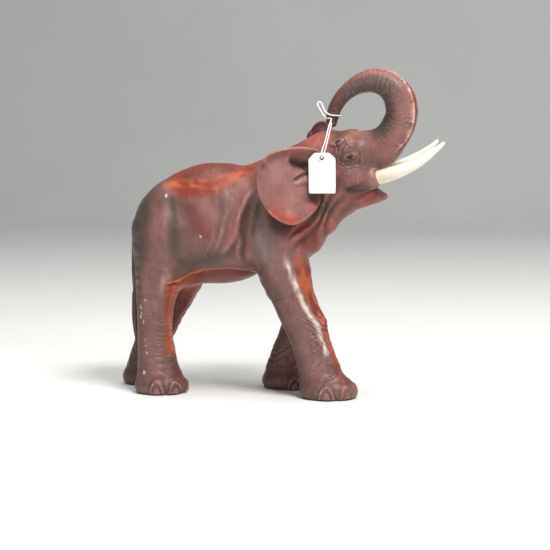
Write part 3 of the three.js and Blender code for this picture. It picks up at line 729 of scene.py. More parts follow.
def head_field(p):
    q = to_head(p)
    solid = smooth_min(skull(q), jaw(q), 10)
    return np.minimum(smooth_max(solid, -mouth(q), 5), trunk_end(q))


head_near = within(head_field, [20, -150, 130], [400, 150, 600])


def form(p):
    d = torso(p)
    for part in legs.values():
        d = smooth_min(d, part(p), 13)
    return smooth_min(d, head_near(p), 18)


# ---------------------------------------------------------------- meshing the form

LOW_CORNER = np.array([-204.0, -92.0, -8.0])
HIGH_CORNER = np.array([246.0, 92.0, 446.0])
FINE = 1.25
PER_BLOCK = 4
NEAR = 7.5
SOLE_TOP = 2.3


def grid_points(start, counts, cell):
    axes = [start[i] + cell * np.arange(counts[i]) for i in range(3)]
    return np.stack(np.meshgrid(*axes, indexing="ij"), -1)


def form_grid():
    """The form on a fine grid. Far from the surface the coarse grid's value is near enough."""
    block = FINE * PER_BLOCK
    blocks = np.ceil((HIGH_CORNER - LOW_CORNER) / block).astype(int)
    coarse = form(grid_points(LOW_CORNER, blocks + 1, block).reshape(-1, 3)).reshape(blocks + 1)
    middle = sum(
        coarse[i : i + blocks[0], j : j + blocks[1], k : k + blocks[2]]
        for i in (0, 1) for j in (0, 1) for k in (0, 1)
    ) / 8
    fine = np.repeat(np.repeat(np.repeat(middle, PER_BLOCK, 0), PER_BLOCK, 1), PER_BLOCK, 2)
    near = np.argwhere(np.abs(middle) < NEAR)
    inside = grid_points((0, 0, 0), (PER_BLOCK,) * 3, 1).reshape(-1, 3)
    cells = (near[:, None] * PER_BLOCK + inside[None]).reshape(-1, 3).astype(int)
    fine[tuple(cells.T)] = form(LOW_CORNER + cells * FINE)
    return fine


def hide_surface():
    """The whole outside as quads, standing flat on the soles."""
    grid = vdb.FloatGrid(3.0)
    grid.copyFromArray(form_grid().astype(np.float32), tolerance=0)
    points, quads = grid.convertToQuads(isovalue=0)
    points = LOW_CORNER + points.astype(float) * FINE
    quads = quads.astype(int)
    quads = quads[(points[quads][:, :, 2] > SOLE_TOP).any(axis=1)]
    used = np.unique(quads)
    index = np.full(len(points), -1)
    index[used] = np.arange(len(used))
    points, quads = points[used], index[quads]
    points[:, 2] = np.maximum(points[:, 2], SOLE_TOP)
    return points, quads


def edges_of(quads):
    return np.vstack([quads[:, [i, (i + 1) % 4]] for i in range(4)])


def spread_out(values, edges, rounds):
    """Values averaged with their neighbours' a few times."""
    count = np.bincount(edges.ravel(), minlength=len(values)).astype(float)
    columns = values.reshape(len(values), -1)
    for _ in range(rounds):
        total = np.stack([
            np.bincount(edges[:, 0], column[edges[:, 1]], len(values))
            + np.bincount(edges[:, 1], column[edges[:, 0]], len(values))
            for column in columns.T
        ], 1)
        columns = 0.5 * columns + 0.5 * total / np.maximum(count, 1)[:, None]
    return columns.reshape(values.shape)


# ---------------------------------------------------------------- places on the hide


def along_line(q, line):
    """Arc length along a run of stations, distance from it, and the offset's parts out and right."""
    starts = line[:-1, :3]
    runs = np.diff(line[:, :3], axis=0)
    lengths = np.linalg.norm(runs, axis=1)
    before = np.concatenate([[0], np.cumsum(lengths)])
    best = np.full(len(q), 1e9)
    arc, out, right = (np.zeros(len(q)) for _ in range(3))
    for a, run, length, start in zip(starts, runs, lengths, before):
        o = q - a
        t = np.clip(o @ run / (run @ run), 0, 1)
        o = o - t[:, None] * run
        away = np.sqrt(np.einsum("ij,ij->i", o, o))
        nearer = away < best
        best = np.where(nearer, away, best)
        arc = np.where(nearer, start + t * length, arc)
        direction = run / length
        outward = np.array([direction[2], 0, -direction[0]])
        out = np.where(nearer, o @ outward, out)
        right = np.where(nearer, -o[:, 1], right)
    return arc, best, out, right


NECK_SLOPE = math.radians(13)
TRUNK_LENGTH = float(np.linalg.norm(np.diff(TRUNK_LINE[:, :3], axis=0), axis=1).sum())
TRUNK_CUT = {"x": 199, "z": 349, "slope": math.radians(52)}


def trunk_places(p):
    """Where each point lies on the trunk: arc length s, angle from its outer side, and a 0-1 mask."""
    q = to_head(p)
    s, away, out, right = along_line(q, TRUNK_LINE)
    angle = np.degrees(np.arctan2(right, out))
    radius = np.interp(s / TRUNK_LENGTH, np.linspace(0, 1, len(TRUNK_LINE)), TRUNK_LINE[:, 3])
    ahead = (q[:, 0] - TRUNK_CUT["x"]) * math.cos(TRUNK_CUT["slope"])
    ahead += (q[:, 2] - TRUNK_CUT["z"]) * math.sin(TRUNK_CUT["slope"])
    curled = (s > 95) & (away < radius + 4)
    on = np.where(curled, 1.0, step(ahead, -22, 4) * (away < radius + 9) * (s > 8) * (s < 130))
    return {"s": s, "angle": angle, "on": on, "ahead": ahead, "curled": curled, "away": away}


def leg_places(p, name):
    """Height, turn (0 forward, 90 outward) and a 0-1 mask on one leg."""
    side = LEGS[name][0]
    line = leg_line(name)
    order = np.argsort(line[:, 2])
    z = p[:, 2]
    middle = [np.interp(z, line[order, 2], line[order, i]) for i in (0, 1, 3)]
    forward = p[:, 0] - middle[0]
    outward = side * (p[:, 1] - middle[1])
    away = np.hypot(forward, outward / LEG_WIDTH)
    on = step(away - middle[2], 24, 10) * step(z, 200, 165) * (side * p[:, 1] > -3)
    return {"forward": forward, "outward": outward, "turn": np.degrees(np.arctan2(outward, forward)),
            "on": on, "z": z}


CHEST_Z = 178  # the head's panel goes no lower


def past_neck(x, z):
    """How far a place lies towards the head from the slanting cut across the neck."""
    neck_x, _, neck_z = NECK_DOWEL_MIDDLE
    return (x - neck_x) * math.cos(NECK_SLOPE) + (z - neck_z) * math.sin(NECK_SLOPE)


def places(points, normals):
    at = {"p": points, "n": normals, "x": points[:, 0], "y": points[:, 1], "z": points[:, 2]}
    at["head"] = to_head(points)
    at["sideways"] = step(np.abs(normals[:, 1]), 0.25, 0.6)
    at["trunk"] = trunk_places(points)
    at["legs"] = {name: leg_places(points, name) for name in LEGS}
    at["on_leg"] = np.max([leg["on"] for leg in at["legs"].values()], axis=0)
    at["neck"] = past_neck(at["x"], at["z"])
    at["on_head"] = step(at["neck"], -8, 8) * (at["z"] > CHEST_Z) * (1 - at["trunk"]["on"])
    at["on_torso"] = (1 - at["on_head"]) * (1 - at["on_leg"]) * (1 - at["trunk"]["on"])
    return at


# ---------------------------------------------------------------- relief pressed into the leather

BELLY_SEAM = [(-98, 152), (-87, 154), (-73, 163), (-51, 170), (-23, 172.5), (4, 170), (16, 163), (24, 160)]
SHOULDER_FOLD = [(26, 284), (23, 277), (16, 262), (9, 242), (7, 224), (8, 207), (4, 193), (7, 176)]
SECOND_FOLD = [(14, 268), (4, 251), (-1, 231), (-5, 216), (-15, 200), (-27, 188)]
HIP_RIDGE = [(-106, 286), (-101, 268), (-100, 240), (-97, 212), (-96, 186), (-99, 160)]
HIP_HOLLOW = [(-92, 272), (-80, 252), (-70, 228), (-74, 200), (-84, 176)]
UPPER_ARM = [(40, 262), (32, 236), (26, 210), (36, 186), (50, 160), (66, 134)]
ARM_GROOVE = [(24, 190), (34, 172), (46, 152), (60, 132), (74, 112)]
ELBOW = (14, 191)
HIP_KNOB = (-101, 274)

# each stroke: height, line, width and, where it isn't the usual one, taper
TORSO_STROKES = [
    (-1.8, SHOULDER_FOLD, 3.6), (1.6, SECOND_FOLD, 3.6), (1.2, moved(SHOULDER_FOLD, -7), 3.2),
    (1.4, [(30, 268), (20, 244), (17, 222), (16, 206)], 3.2),
    (2.2, UPPER_ARM, 12), (-1.4, ARM_GROOVE, 3.4), (1.9, HIP_RIDGE, 6.5, 0.3), (-1.6, HIP_HOLLOW, 9, 0.3),
    (-1.4, [(-92, 150), (-86, 164), (-77, 176)], 5.5, 0), (1.6, [(-101, 176), (-97, 163), (-96, 150)], 4.5),
]
TORSO_STROKES += [(height, moved(SECOND_FOLD, -back, -drop), 3.0, 0.3)
                  for back, drop, height in ((7, 3, 1.0), (13, 5, -0.8), (19, 7, 0.9), (25, 9, -0.7),
                                             (32, 12, 0.7))]


def belly_height(x):
    return np.interp(x, *zip(*BELLY_SEAM))


def torso_relief(at):
    x, y, z, on = at["x"], at["y"], at["z"], at["on_torso"]
    drape = noise(columns(x + 0.35 * z, y, z), (15, 60, 85), 3)
    drape += 0.5 * noise(columns(x + 0.25 * z, y, z), (7, 60, 60), 4)
    h = 0.75 * drape * at["sideways"] * on * step(z, 150, 185) * step(z, 300, 270)
    upper = at["sideways"] * (1 - at["on_head"]) * step(z, 150, 166)
    knobs = 2.6 * spot(x - ELBOW[0], z - ELBOW[1], 6.5) + 1.5 * spot(x - HIP_KNOB[0], z - HIP_KNOB[1], 11)
    h += upper * (carve(at, TORSO_STROKES) + knobs)
    # the belly is drawn in under the flank's rolled edge
    edge = z - belly_height(x)
    span = step(x, -104, -94) * step(x, 30, 20) * at["sideways"]
    h += span * (2.3 * bump(edge, 7, 6) + 1.5 * bump(edge, 0.2, 1.7) - 1.5 * bump(edge, -3.2, 3.5))
    low = step(edge, 0, -6) * on * step(x, -100, -86) * step(x, 34, 14)
    h += low * 0.5 * noise(at["p"], (26, 9, 40), 6)
    return h + 1.1 * on * bump(y, 0, 7) * step(z, 270, 292)


def ridge_turn(z):
    """The turn of the ridge down the outer front of a front leg, scuffed and given a painted highlight in
    its colour.
    """
    return np.interp(z, [50, 97, 130, 162, 207], [37, 38, 50, 62, 64])


NAILS = {  # turn from forward (outward is positive) and size
    "front_right": ((84, 1.0), (35, 1.0), (-13, 0.95), (-58, 0.85)),
    "rear_right": ((84, 1.0), (37, 0.95), (-10, 0.9), (-55, 0.85)),
    "front_left": ((78, 0.95), (32, 1.0), (-13, 0.95), (-62, 0.95)),
    "rear_left": ((76, 0.95), (30, 0.95), (-14, 0.95), (-60, 0.9)),
}
NAIL_SIZE = (10.5, 20.5)  # half width and height


def nail_relief(forward, outward, z, half_length, nails):
    """Arched nails round the toes, each under a doubled fold, and where their plates are."""
    h = np.zeros(len(z))
    plate = np.zeros(len(z))
    for turn, size in nails:
        c, s = math.cos(math.radians(turn)), math.sin(math.radians(turn))
        radius = half_length * (1 - 0.16 * abs(s))
        elsewhere = outward * s + forward * c <= 0.45 * radius
        across = (outward * c - forward * s) / (NAIL_SIZE[0] * size)
        reach = np.hypot(across, np.maximum(z, 0) / (NAIL_SIZE[1] * size)) + elsewhere * 9
        h += 1.4 * bump(reach, 0.86, 0.17) - 1.0 * bump(reach, 1.14, 0.13) - 0.7 * bump(reach, 0.66, 0.08)
        h += 1.3 * step(reach, 0.62, 0.2) + 0.9 * bump(reach, 0.3, 0.6)
        plate = np.maximum(plate, step(reach, 0.58, 0.46))
    return h, plate


def front_leg_relief(leg, z, turn):
    """The ridge (scuffed, and given a painted highlight in its colour), the folded knee and the hollow
    behind the upper leg.
    """
    slanted = columns(leg["forward"], leg["outward"], z + 1.1 * leg["forward"])
    folds = grooves(slanted[:, 2], slanted, 6.5, 14, 0.6)
    ridge = bump(turn - ridge_turn(z), 0, 11) * step(z, 40, 62) * step(z, 215, 190)
    h = ridge * (2.2 - 0.8 * folds * step(z, 180, 120))
    knee = step(z, 128, 108) * step(z, 52, 70) * bump(turn, 28, 46)
    h += knee * (1.4 - 1.5 * grooves(slanted[:, 2], slanted + 4, 9.5, 16, 0.6))
    h += 1.3 * bump(turn, 0, 24) * bump(z, 103, 9)
    return h - 1.3 * bump(turn, 118, 14) * step(z, 70, 100) * step(z, 165, 130)


def rear_leg_relief(q, z, turn):
    """The strip down the front, its groove, and the heel's tendon."""
    strip = bump(turn, 14, 9) * step(z, 44, 66) * step(z, 160, 140)
    h = strip * (1.7 - 1.1 * grooves(z, q, 12, 16, 0.4))
    h -= 1.3 * bump(turn, 31, 8) * step(z, 100, 130) * step(z, 165, 150)
    return h + bump(turn, 150, 20) * bump(z, 112, 16)


def leg_relief(at, name):
    leg = at["legs"][name]
    (foot_x, half_length), side = LEGS[name][2], LEGS[name][0]
    z, turn, on = leg["z"], leg["turn"], leg["on"]
    front = name.startswith("front")
    lean = -0.45 * leg["forward"] if front else 0.1 * leg["forward"]
    q = columns(leg["forward"], leg["outward"], z + lean)
    low = step(z, 165, 105) * step(z, 20, 32) * on
    h = low * (0.7 * noise(q, (18, 18, 11), 17) - 0.7 * grooves(q[:, 2], q, 5.2, 11, 0.35)
               - 0.3 * grooves(q[:, 2], q + 9, 3.2, 15, 0.2))
    # heavier folds over the ankle
    h -= 1.3 * grooves(q[:, 2], q + 5, 10.5, 13, 0.5) * step(z, 70, 46) * step(z, 24, 34) * on
    h += on * (front_leg_relief(leg, z, turn) if front else rear_leg_relief(q, z, turn))
    outward = side * at["y"] - FOOT_SPREAD
    nail, plate = nail_relief(at["x"] - foot_x, outward, z, half_length, NAILS[name])
    mask = step(z, 40, 24) * on
    return h + mask * (nail + 0.8 * bump(z, 30, 5)), plate * mask


SEAM_S = (0, 10, 26, 44, 62, 77, 91, 104, 116, 135, 170, 221)
SEAM_ANGLE = (46, 40, 44, 34, 30, 32, 30, 15, 6, 0, -6, -10)


def seam_angle(trunk):
    """Degrees round the trunk from its seam."""
    return trunk["angle"] - np.interp(trunk["s"], SEAM_S, SEAM_ANGLE)


def trunk_relief(at):
    trunk = at["trunk"]
    s, angle, on = trunk["s"], trunk["angle"], trunk["on"]
    q = columns(angle * 0.3, 0, s)
    rings = 0.85 * grooves(s, q, 5.6, 21, 0.45) + 0.45 * grooves(s, q + 7, 2.9, 25, 0.4)
    rings += 0.9 * grooves(s, q + 3, 7.5, 28, 0.6) * step(np.abs(angle), 80, 130)
    h = -rings * np.interp(s, (0, 110, 221), (1.0, 0.85, 0.5))
    seam = seam_angle(trunk)
    ticks = grooves(s, columns(seam, 0, s), 3.3, 24, 0.7) * bump(seam, 4, 15)
    welt = 1.3 * bump(seam, 0, 5) - 0.8 * bump(seam, -13, 6) - 0.4 * bump(seam, 12, 5)
    h += step(s, 6, 24) * step(s, 190, 130) * (welt - 0.7 * ticks)
    # two nostrils in the tip
    q = at["head"] - TRUNK_LINE[-1, :3]
    tip = (np.linalg.norm(q, axis=1) < 12) & (q[:, 2] < -3)
    for side in (-1, 1):
        h -= 1.8 * spot(q[:, 0], q[:, 1] - side * 2.6, 1.7) * tip
    return h * on


TUSKS = {
    "right": [(152, -18, 287, 7.5), (178, -21.5, 291, 9.3), (198, -24, 296.5, 9.2), (215, -25.5, 302, 8),
              (232, -26.5, 309, 6.3), (248, -26.5, 319, 4.9), (260, -26, 328.5, 3.5), (269, -25, 336, 2.3)],
    "left": [(150, 20, 292, 7.5), (172, 23, 297, 9.3), (190, 25, 301.5, 9.2), (208, 26, 308, 8),
             (222, 26, 315, 6.5), (236, 25, 323.5, 5), (247, 24, 332, 3.5), (254, 23, 338.5, 2.3)],
}
EYE_RADIUS = 4.6
EYE_FLARE = 1.28  # an eye's opening is this much longer than it is high


def eye_middles():
    """The eyeballs' middles, from the CAD's own eyes."""
    found = {}
    for side, node in ((-1, "eye_right"), (1, "eye_left")):
        low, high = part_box(node)
        found[side] = ((np.array(low) + np.array(high)) / 2 - SHIFT) * 1000
    return found


EYES = eye_middles()


def eye_axes(side):
    """Out of the skin, forward and up at an eye, from the form's own slope there."""
    d = form(EYES[side] + np.vstack([np.eye(3), -np.eye(3)]) * 3)
    out = unit(d[:3] - d[3:])
    ahead = unit(np.array([1, 0, 0]) - out * out[0])
    up = np.cross(ahead, out) * -side
    return out, ahead, up * np.sign(up[2])


EYE_AXES = {side: eye_axes(side) for side in EYES}


def eye_reach(at, side):
    """Forward, up and elliptic distance from an eye, over the skin; far away on the other side."""
    d = at["p"] - EYES[side]
    out, ahead, above = EYE_AXES[side]
    forward, up = d @ ahead, d @ above
    other = (d @ out < -22) | (side * at["y"] < 4)
    return forward, up, np.hypot(forward / EYE_FLARE, up) + other * 99


def eye_relief(at):
    """Puffed lids round an almond slit, and broken wrinkles round them, taller than wide."""
    h = np.zeros(len(at["x"]))
    for side in EYES:
        forward, up, reach = eye_reach(at, side)
        wobble = 1 + 0.3 * noise(at["p"], 10, 31) + 0.12 * noise(at["p"], 4.5, 32)
        tall = np.hypot(forward, up / 1.25) * wobble + (reach > 60) * 99
        slit = np.hypot((forward + 0.3 * up) / 4.2, (up - 0.25 * forward) / 1.5)
        inside = step(slit, 1.2, 0.8)
        lids = 1.8 * bump(slit, 1.9, 0.8) - 0.5 * bump(tall, 8.0, 1.3)
        h += lids * (1 - inside) - 1.5 * inside
        wrinkled = cloud(at["p"], (8, 8, 12), 33, 0.35, 1.1) * step(tall, 30, 15) * step(tall, 7, 10)
        h += 0.75 * np.cos(2 * math.pi * tall / 4.6) * wrinkled
        h += 1.9 * spot(forward - 2, (up - 15) * 0.8, 9)
    return h


def tusk_cover(p, h):
    """The skin never sinks onto a tusk's root, and swells a little over it."""
    for run in TUSKS.values():
        start, end = np.array(run[:2], float)
        along = (end - start)[:3]
        t = np.clip((p - start[:3]) @ along / (along @ along), -0.3, 0.95)
        away = np.linalg.norm(p - start[:3] - t[:, None] * along, axis=1)
        cover = step(away - start[3] - t * (end[3] - start[3]), 7, 3)
        h = h * (1 - cover) + np.maximum(h, 2.4) * cover
    return h


CHEEK_LINE = [(138, 281), (150, 284), (162, 288), (173, 288)]
HEAD_STROKES = [(-1.7, CHEEK_LINE, 2.6), (1.4, moved(CHEEK_LINE, 0, 8), 5),
                (1.3, [(146, 262), (160, 268), (172, 274), (184, 272)], 3.2)]
TUSK_MOUTHS = ((168, -25, 293), (163, 24, 295))


def upright(at):
    """The same places as they lie on the head before it leans."""
    return dict(at, x=at["head"][:, 0], z=at["head"][:, 2])


def head_relief(at):
    z, q = at["z"], at["head"]
    h = eye_relief(at) + at["sideways"] * carve(upright(at), HEAD_STROKES)
    # skin bunched where each tusk comes out
    for mouth_place in TUSK_MOUTHS:
        away = np.linalg.norm((at["p"] - mouth_place) * (0.8, 1, 1), axis=1)
        folds = np.sin(away * 1.7 + 2.4 * noise(at["p"], 9, 41))
        h += bump(away, 13, 4) * (0.9 + 0.4 * folds * step(z, 300, 288))
    h = tusk_cover(at["p"], h)
    slanted = columns(q[:, 0] + 0.6 * q[:, 2], q[:, 1], q[:, 2] * 0.4)
    h += 1.1 * noise(slanted, (9, 24, 30), 42) * step(z, 276, 262)
    h += 1.5 * bump(np.abs(q[:, 1]), 15, 8) * bump(at["x"], 112, 16) * step(z, 320, 340)
    return h * at["on_head"]


def neck_fold(at):
    """1 on the crests and -1 in the valleys of the long folds from the jaw down to the chest."""
    x, y, z = at["x"], at["y"], at["z"]
    across = 0.88 * x - 0.47 * z + 0.15 * np.abs(y)
    q = columns(across, y, 0.47 * x + 0.88 * z)
    return np.sin(2 * math.pi * (across / 12.5 + 0.55 * noise(q, (22, 30, 44), 51)))


def neck_mask(at):
    neck, z = at["neck"], at["z"]
    near = step(neck, -46, -24) * step(neck, 56, 22) * step(z, 180, 205) * step(z, 322, 300)
    return near * (1 - at["trunk"]["on"]) * step(at["x"], 52, 66)


def neck_relief(at):
    q = columns(at["x"] - 0.5 * at["z"], at["y"], at["z"] + 0.5 * at["x"])
    return neck_mask(at) * (1.3 * neck_fold(at) + 0.7 * noise(q, (7, 18, 30), 52))


LOWEST_RELIEF, HIGHEST_RELIEF = -1.9, 5


def relief(at):
    """How far each point stands out from the plain form, in millimetres, and the nail plates."""
    h = torso_relief(at) + trunk_relief(at) + head_relief(at) + neck_relief(at)
    plates = np.zeros(len(h))
    for name in LEGS:
        more, plate = leg_relief(at, name)
        h += more
        plates = np.maximum(plates, plate)
    unevenness = sum(size * noise(at["p"], cell, seed)
                     for size, cell, seed in ((0.55, 21, 61), (0.3, 9, 62), (0.14, 4.2, 63)))
    h += (1 - 0.7 * plates) * unevenness
    return np.clip(h, LOWEST_RELIEF, HIGHEST_RELIEF), plates


# ---------------------------------------------------------------- the dye, with painted shade and highlights

MAUVE = (0.228, 0.098, 0.092)
PINK = (0.36, 0.13, 0.12)
PALE = (0.58, 0.42, 0.37)
BROWN = (0.075, 0.038, 0.030)
OLIVE = (0.080, 0.056, 0.041)
SLATE = (0.098, 0.082, 0.071)
ORANGE = (0.31, 0.042, 0.016)
FLAME = (0.52, 0.115, 0.024)
RED = (0.17, 0.024, 0.017)
WINE = (0.082, 0.019, 0.017)
CREAM = (0.66, 0.58, 0.50)
# the dark of the painted shade in the flank's hollows
FLANK_SHADE = (0.055, 0.042, 0.03)
ASH = (0.20, 0.14, 0.135)
# the dark of the painted shadow under the ear
UNDER_EAR_SHADE = (0.03, 0.022, 0.016)
DARKEST, PALEST = 0.004, 0.95

FLECKS = [  # worn through spots: x, y, z, radius
    (-99, -51, 268, 2.2), (-49, -64, 215, 1.7), (-143, -51, 153, 1.8), (-138, -52, 119, 2.6),
    (-139, -51, 105, 2.4), (-135, -53, 99, 1.9), (-131, -56, 128, 1.3), (-134, -54, 74, 1.5),
    (-130, -56, 57, 1.8), (-133, -57, 30, 2.6), (-137, -52, 111, 1.5), (-132, -55, 66, 1.1),
]

# each stroke of colour, dyed except where noted as painted shade and painted highlights: its colour,
# strength, line, width and, where it isn't the usual one, taper
TORSO_DYE_LIGHT_AND_SHADE = [
    # painted highlight down the hip's ridge
    (MAUVE, 0.7, [(-110, 262), (-107, 242), (-104, 214), (-103, 176), (-100, 152)], 9),
    # painted shade: first in the hip's hollow, then along the lower flank
    (FLANK_SHADE, 0.85, [(-94, 272), (-87, 246), (-85, 214), (-84, 188), (-76, 174)], 9, 0.1),
    (FLANK_SHADE, 0.75, [(-84, 176), (-62, 180), (-38, 187), (-14, 194), (0, 205)], 9, 0.1),
    (RED, 0.7, [(-70, 262), (-56, 244), (-46, 222), (-34, 208)], 9),
    ((0.29, 0.135, 0.12), 0.65, [(-52, 258), (-34, 250), (-26, 230)], 7),
    ((0.25, 0.12, 0.105), 0.6, [(-14, 262), (-10, 242), (-12, 222)], 5),
    (ASH, 0.75, [(36, 246), (38, 226), (42, 196), (56, 160)], 13),
    # painted shade in the crease between the shoulder fold and the upper arm
    ((0.06, 0.045, 0.033), 0.7, [(27, 270), (28, 250), (25, 232), (22, 214)], 5),
    (ASH, 0.75, [(42, 226), (38, 206), (42, 184), (56, 160)], 12),
]
# painted highlight on the shoulder's fold ridges and painted shade in its grooves
FOLD_LIGHT_AND_SHADE = [
    (PINK, 0.75, SECOND_FOLD, 3.4), (PINK, 0.6, moved(SHOULDER_FOLD, -6), 3.2),
    (BROWN, 0.85, SHOULDER_FOLD, 3.6), (BROWN, 0.6, moved(SECOND_FOLD, 6, -3), 2.8),
]
# painted shade in the groin's hollow
GROIN_SHADE = [(OLIVE, 0.8, [(-90, 153), (-84, 166), (-74, 178)], 7, 0)]
# painted shade in the groove under the cheek and at the back of the cheek
JAW_SHADE = [(BROWN, 0.75, [(132, 283), (148, 285), (166, 290)], 4.5),
            (OLIVE, 0.6, [(122, 300), (128, 288), (136, 280)], 8)]


def dye_and_light_back(at, colour):
    """The orange saddle, hot along its upper edge, with green and red streaks over the spine, and a painted
    highlight on the hip's corner.
    """
    p, x, y, z = at["p"], at["x"], at["y"], at["z"]
    edge = np.interp(x, (-104, -82, -43, -26, -11, 9, 20), (283, 275, 272, 277, 285, 296, 303))
    ragged = 5 * noise(p, (14, 30, 20), 73) + 3.5 * noise(p, (5, 20, 14), 75)
    saddle = step(z + ragged, edge - 13, edge + 4) * step(x + 2.2 * ragged + 0.25 * np.abs(y), -112, -92)
    colour = mix(colour, (0.235, 0.028, 0.012), 0.95 * saddle * step(x, 34, 8))
    veins = cloud(columns(x - 0.5 * z, y, z + 0.2 * x), (12, 24, 5), 74, 0.35, 1.1)
    hot = [(-106, 285), (-84, 284), (-50, 283), (-26, 286), (-4, 295), (16, 303)]
    colour = paint(colour, at, [((0.46, 0.085, 0.02), 0.75, hot, 8, 0.08)], veins)
    # Painted highlight on the hip's corner, where the back turns down to the rump.
    corner = [((0.5, 0.12, 0.03), 0.6, [(-108, 280), (-100, 285), (-88, 286)], 4, 0.1)]
    colour = paint(colour, at, corner, step(np.abs(y), 22, 32))
    streak = [(-90, 292), (-72, 296), (-50, 301), (-28, 304), (-8, 305)]
    patches = cloud(p, (14, 9, 6), 76, 0.7, 1)
    colour = paint(colour, at, [((0.045, 0.035, 0.02), 0.9, streak, 3.4)], patches)
    top = step(z + ragged, edge + 14, edge + 34) * step(x + 2 * ragged, -108, -78)
    return mix(colour, (0.15, 0.02, 0.016), 0.7 * top)


def dye_and_shade_torso(at, colour):
    x, z, y = at["x"], at["z"], at["y"]
    drift = noise(columns(x + 0.3 * z, y, z - 0.2 * x), (9, 40, 34), 72)
    patches = np.clip(0.42 + 0.6 * noise(at["p"], (24, 30, 22), 71) + 0.5 * drift, 0, 1)
    colour = mix(colour, OLIVE, 0.55 * patches)
    # Painted shade over the rear of the rump.
    colour = mix(colour, (0.052, 0.036, 0.028), 0.85 * step(x + 9 * drift, -108, -132) * step(z, 120, 165))
    colour = dye_and_light_back(at, paint(colour, at, TORSO_DYE_LIGHT_AND_SHADE))
    return paint(colour, at, [(RED, 0.5, [(14, 300), (22, 286), (30, 272)], 10)])


def shade_and_light_folds(at, colour):
    # Painted highlights and shade on the shoulder's folds, the elbow and the groin.
    side = at["sideways"]
    colour = paint(colour, at, FOLD_LIGHT_AND_SHADE, side)
    # Painted highlight on the elbow's knob.
    colour = mix(colour, PINK, 0.6 * side * spot(at["x"] - ELBOW[0], at["z"] - ELBOW[1], 7))
    return paint(colour, at, GROIN_SHADE, side)


def dye_and_light_belly(at, colour):
    x, edge = at["x"], at["z"] - belly_height(at["x"])
    span = step(x, -108, -98) * step(x, 34, 24) * (1 - at["on_head"]) * step(at["z"], 62, 120)
    glow = step(edge, -1, -5) * step(x, -56, -84) * step(at["z"], 118, 142)
    for tint, share in (
        (RED, 0.85 * step(edge, 1, -3)),
        (MAUVE, 0.55 * step(edge, -6, -16) * step(x, -70, -40)),
        ((0.36, 0.07, 0.024), 0.75 * glow),
        # painted highlight along the raised bead at the belly seam
        (FLAME, 0.9 * bump(edge, 0.2, 2.4) * step(x, -30, -60)),
        (PINK, 0.75 * bump(edge, 0.4, 1.8) * step(x, -60, -30)),
    ):
        colour = mix(colour, tint, span * share)
    return colour


def dye_and_light_front_leg(base, p, z, turn):
    away = turn - ridge_turn(z)
    facing = step(away, -7, -17) * step(turn, -55, -30) * step(z, 30, 60) * step(z, 212, 188)
    # Paler down the ridge: partly scuffed leather, partly a painted highlight.
    ridge_wear_and_highlight = bump(away + 5 * noise(p, (6, 6, 14), 85), 0, 7.5) * step(z, 46, 70)
    base = mix(base, SLATE, 0.6 * bump(away, -17, 12) * step(z, 110, 150))
    base = mix(base, RED, 0.85 * facing)
    base = mix(base, (0.44, 0.085, 0.032), 0.85 * facing * cloud(p, (9, 9, 17), 83, 0.5, 1.3))
    base = mix(base, OLIVE, 0.6 * bump(turn, -22, 10) * step(z, 40, 70))
    return mix(base, (0.84, 0.69, 0.63), ridge_wear_and_highlight * cloud(p, (5, 5, 9), 84, 0.75, 0.8))


def dye_rear_leg(base, p, z, turn):
    strip = bump(turn + 9 * noise(p, (9, 9, 14), 86), 12, 24) * step(z, 48, 62) * step(z, 172, 150)
    base = mix(base, (0.40, 0.06, 0.02), strip)
    base = mix(base, (0.6, 0.14, 0.03), 0.8 * bump(turn, 20, 8) * step(z, 84, 104) * step(z, 165, 150))
    base = mix(base, PALE, 0.5 * bump(turn, 58, 9) * bump(z, 152, 13))
    return mix(base, BROWN, 0.7 * step(turn, 118, 150) * step(z, 90, 130))


def dye_light_and_shade_leg(at, name, colour):
    leg, p = at["legs"][name], at["p"]
    z, turn, front = leg["z"], leg["turn"], name.startswith("front")
    outer = np.clip(1.2 * bump(turn, 88, 52), 0, 1)
    base = mix(BROWN, (0.25, 0.112, 0.106), outer * (0.8 + 0.2 * noise(p, 17, 81)))
    base = mix(base, RED, 0.8 * bump(turn, -50, 50))
    base = mix(base, OLIVE, 0.25 * cloud(p, (14, 14, 24), 82))
    base = (dye_and_light_front_leg if front else dye_rear_leg)(base, p, z, turn)
    # Darker towards the feet.
    base = mix(base, (0.085, 0.036, 0.031), 0.6 * step(z, 44, 16) * cloud(p, (8, 8, 7), 88, 0.7))
    toes = step(z, 46, 26) * bump(turn, 6, 26) * cloud(p, (7, 7, 9), 87, 0.45, 1.2)
    base = mix(base, (0.42, 0.10, 0.055) if front else RED, 0.85 * toes)
    # Painted shade: the far legs, on the elephant's left, are darkened a quarter towards wine.
    if name.endswith("left"):
        base = mix(base, WINE, 0.25)
    return mix(colour, base, leg["on"])


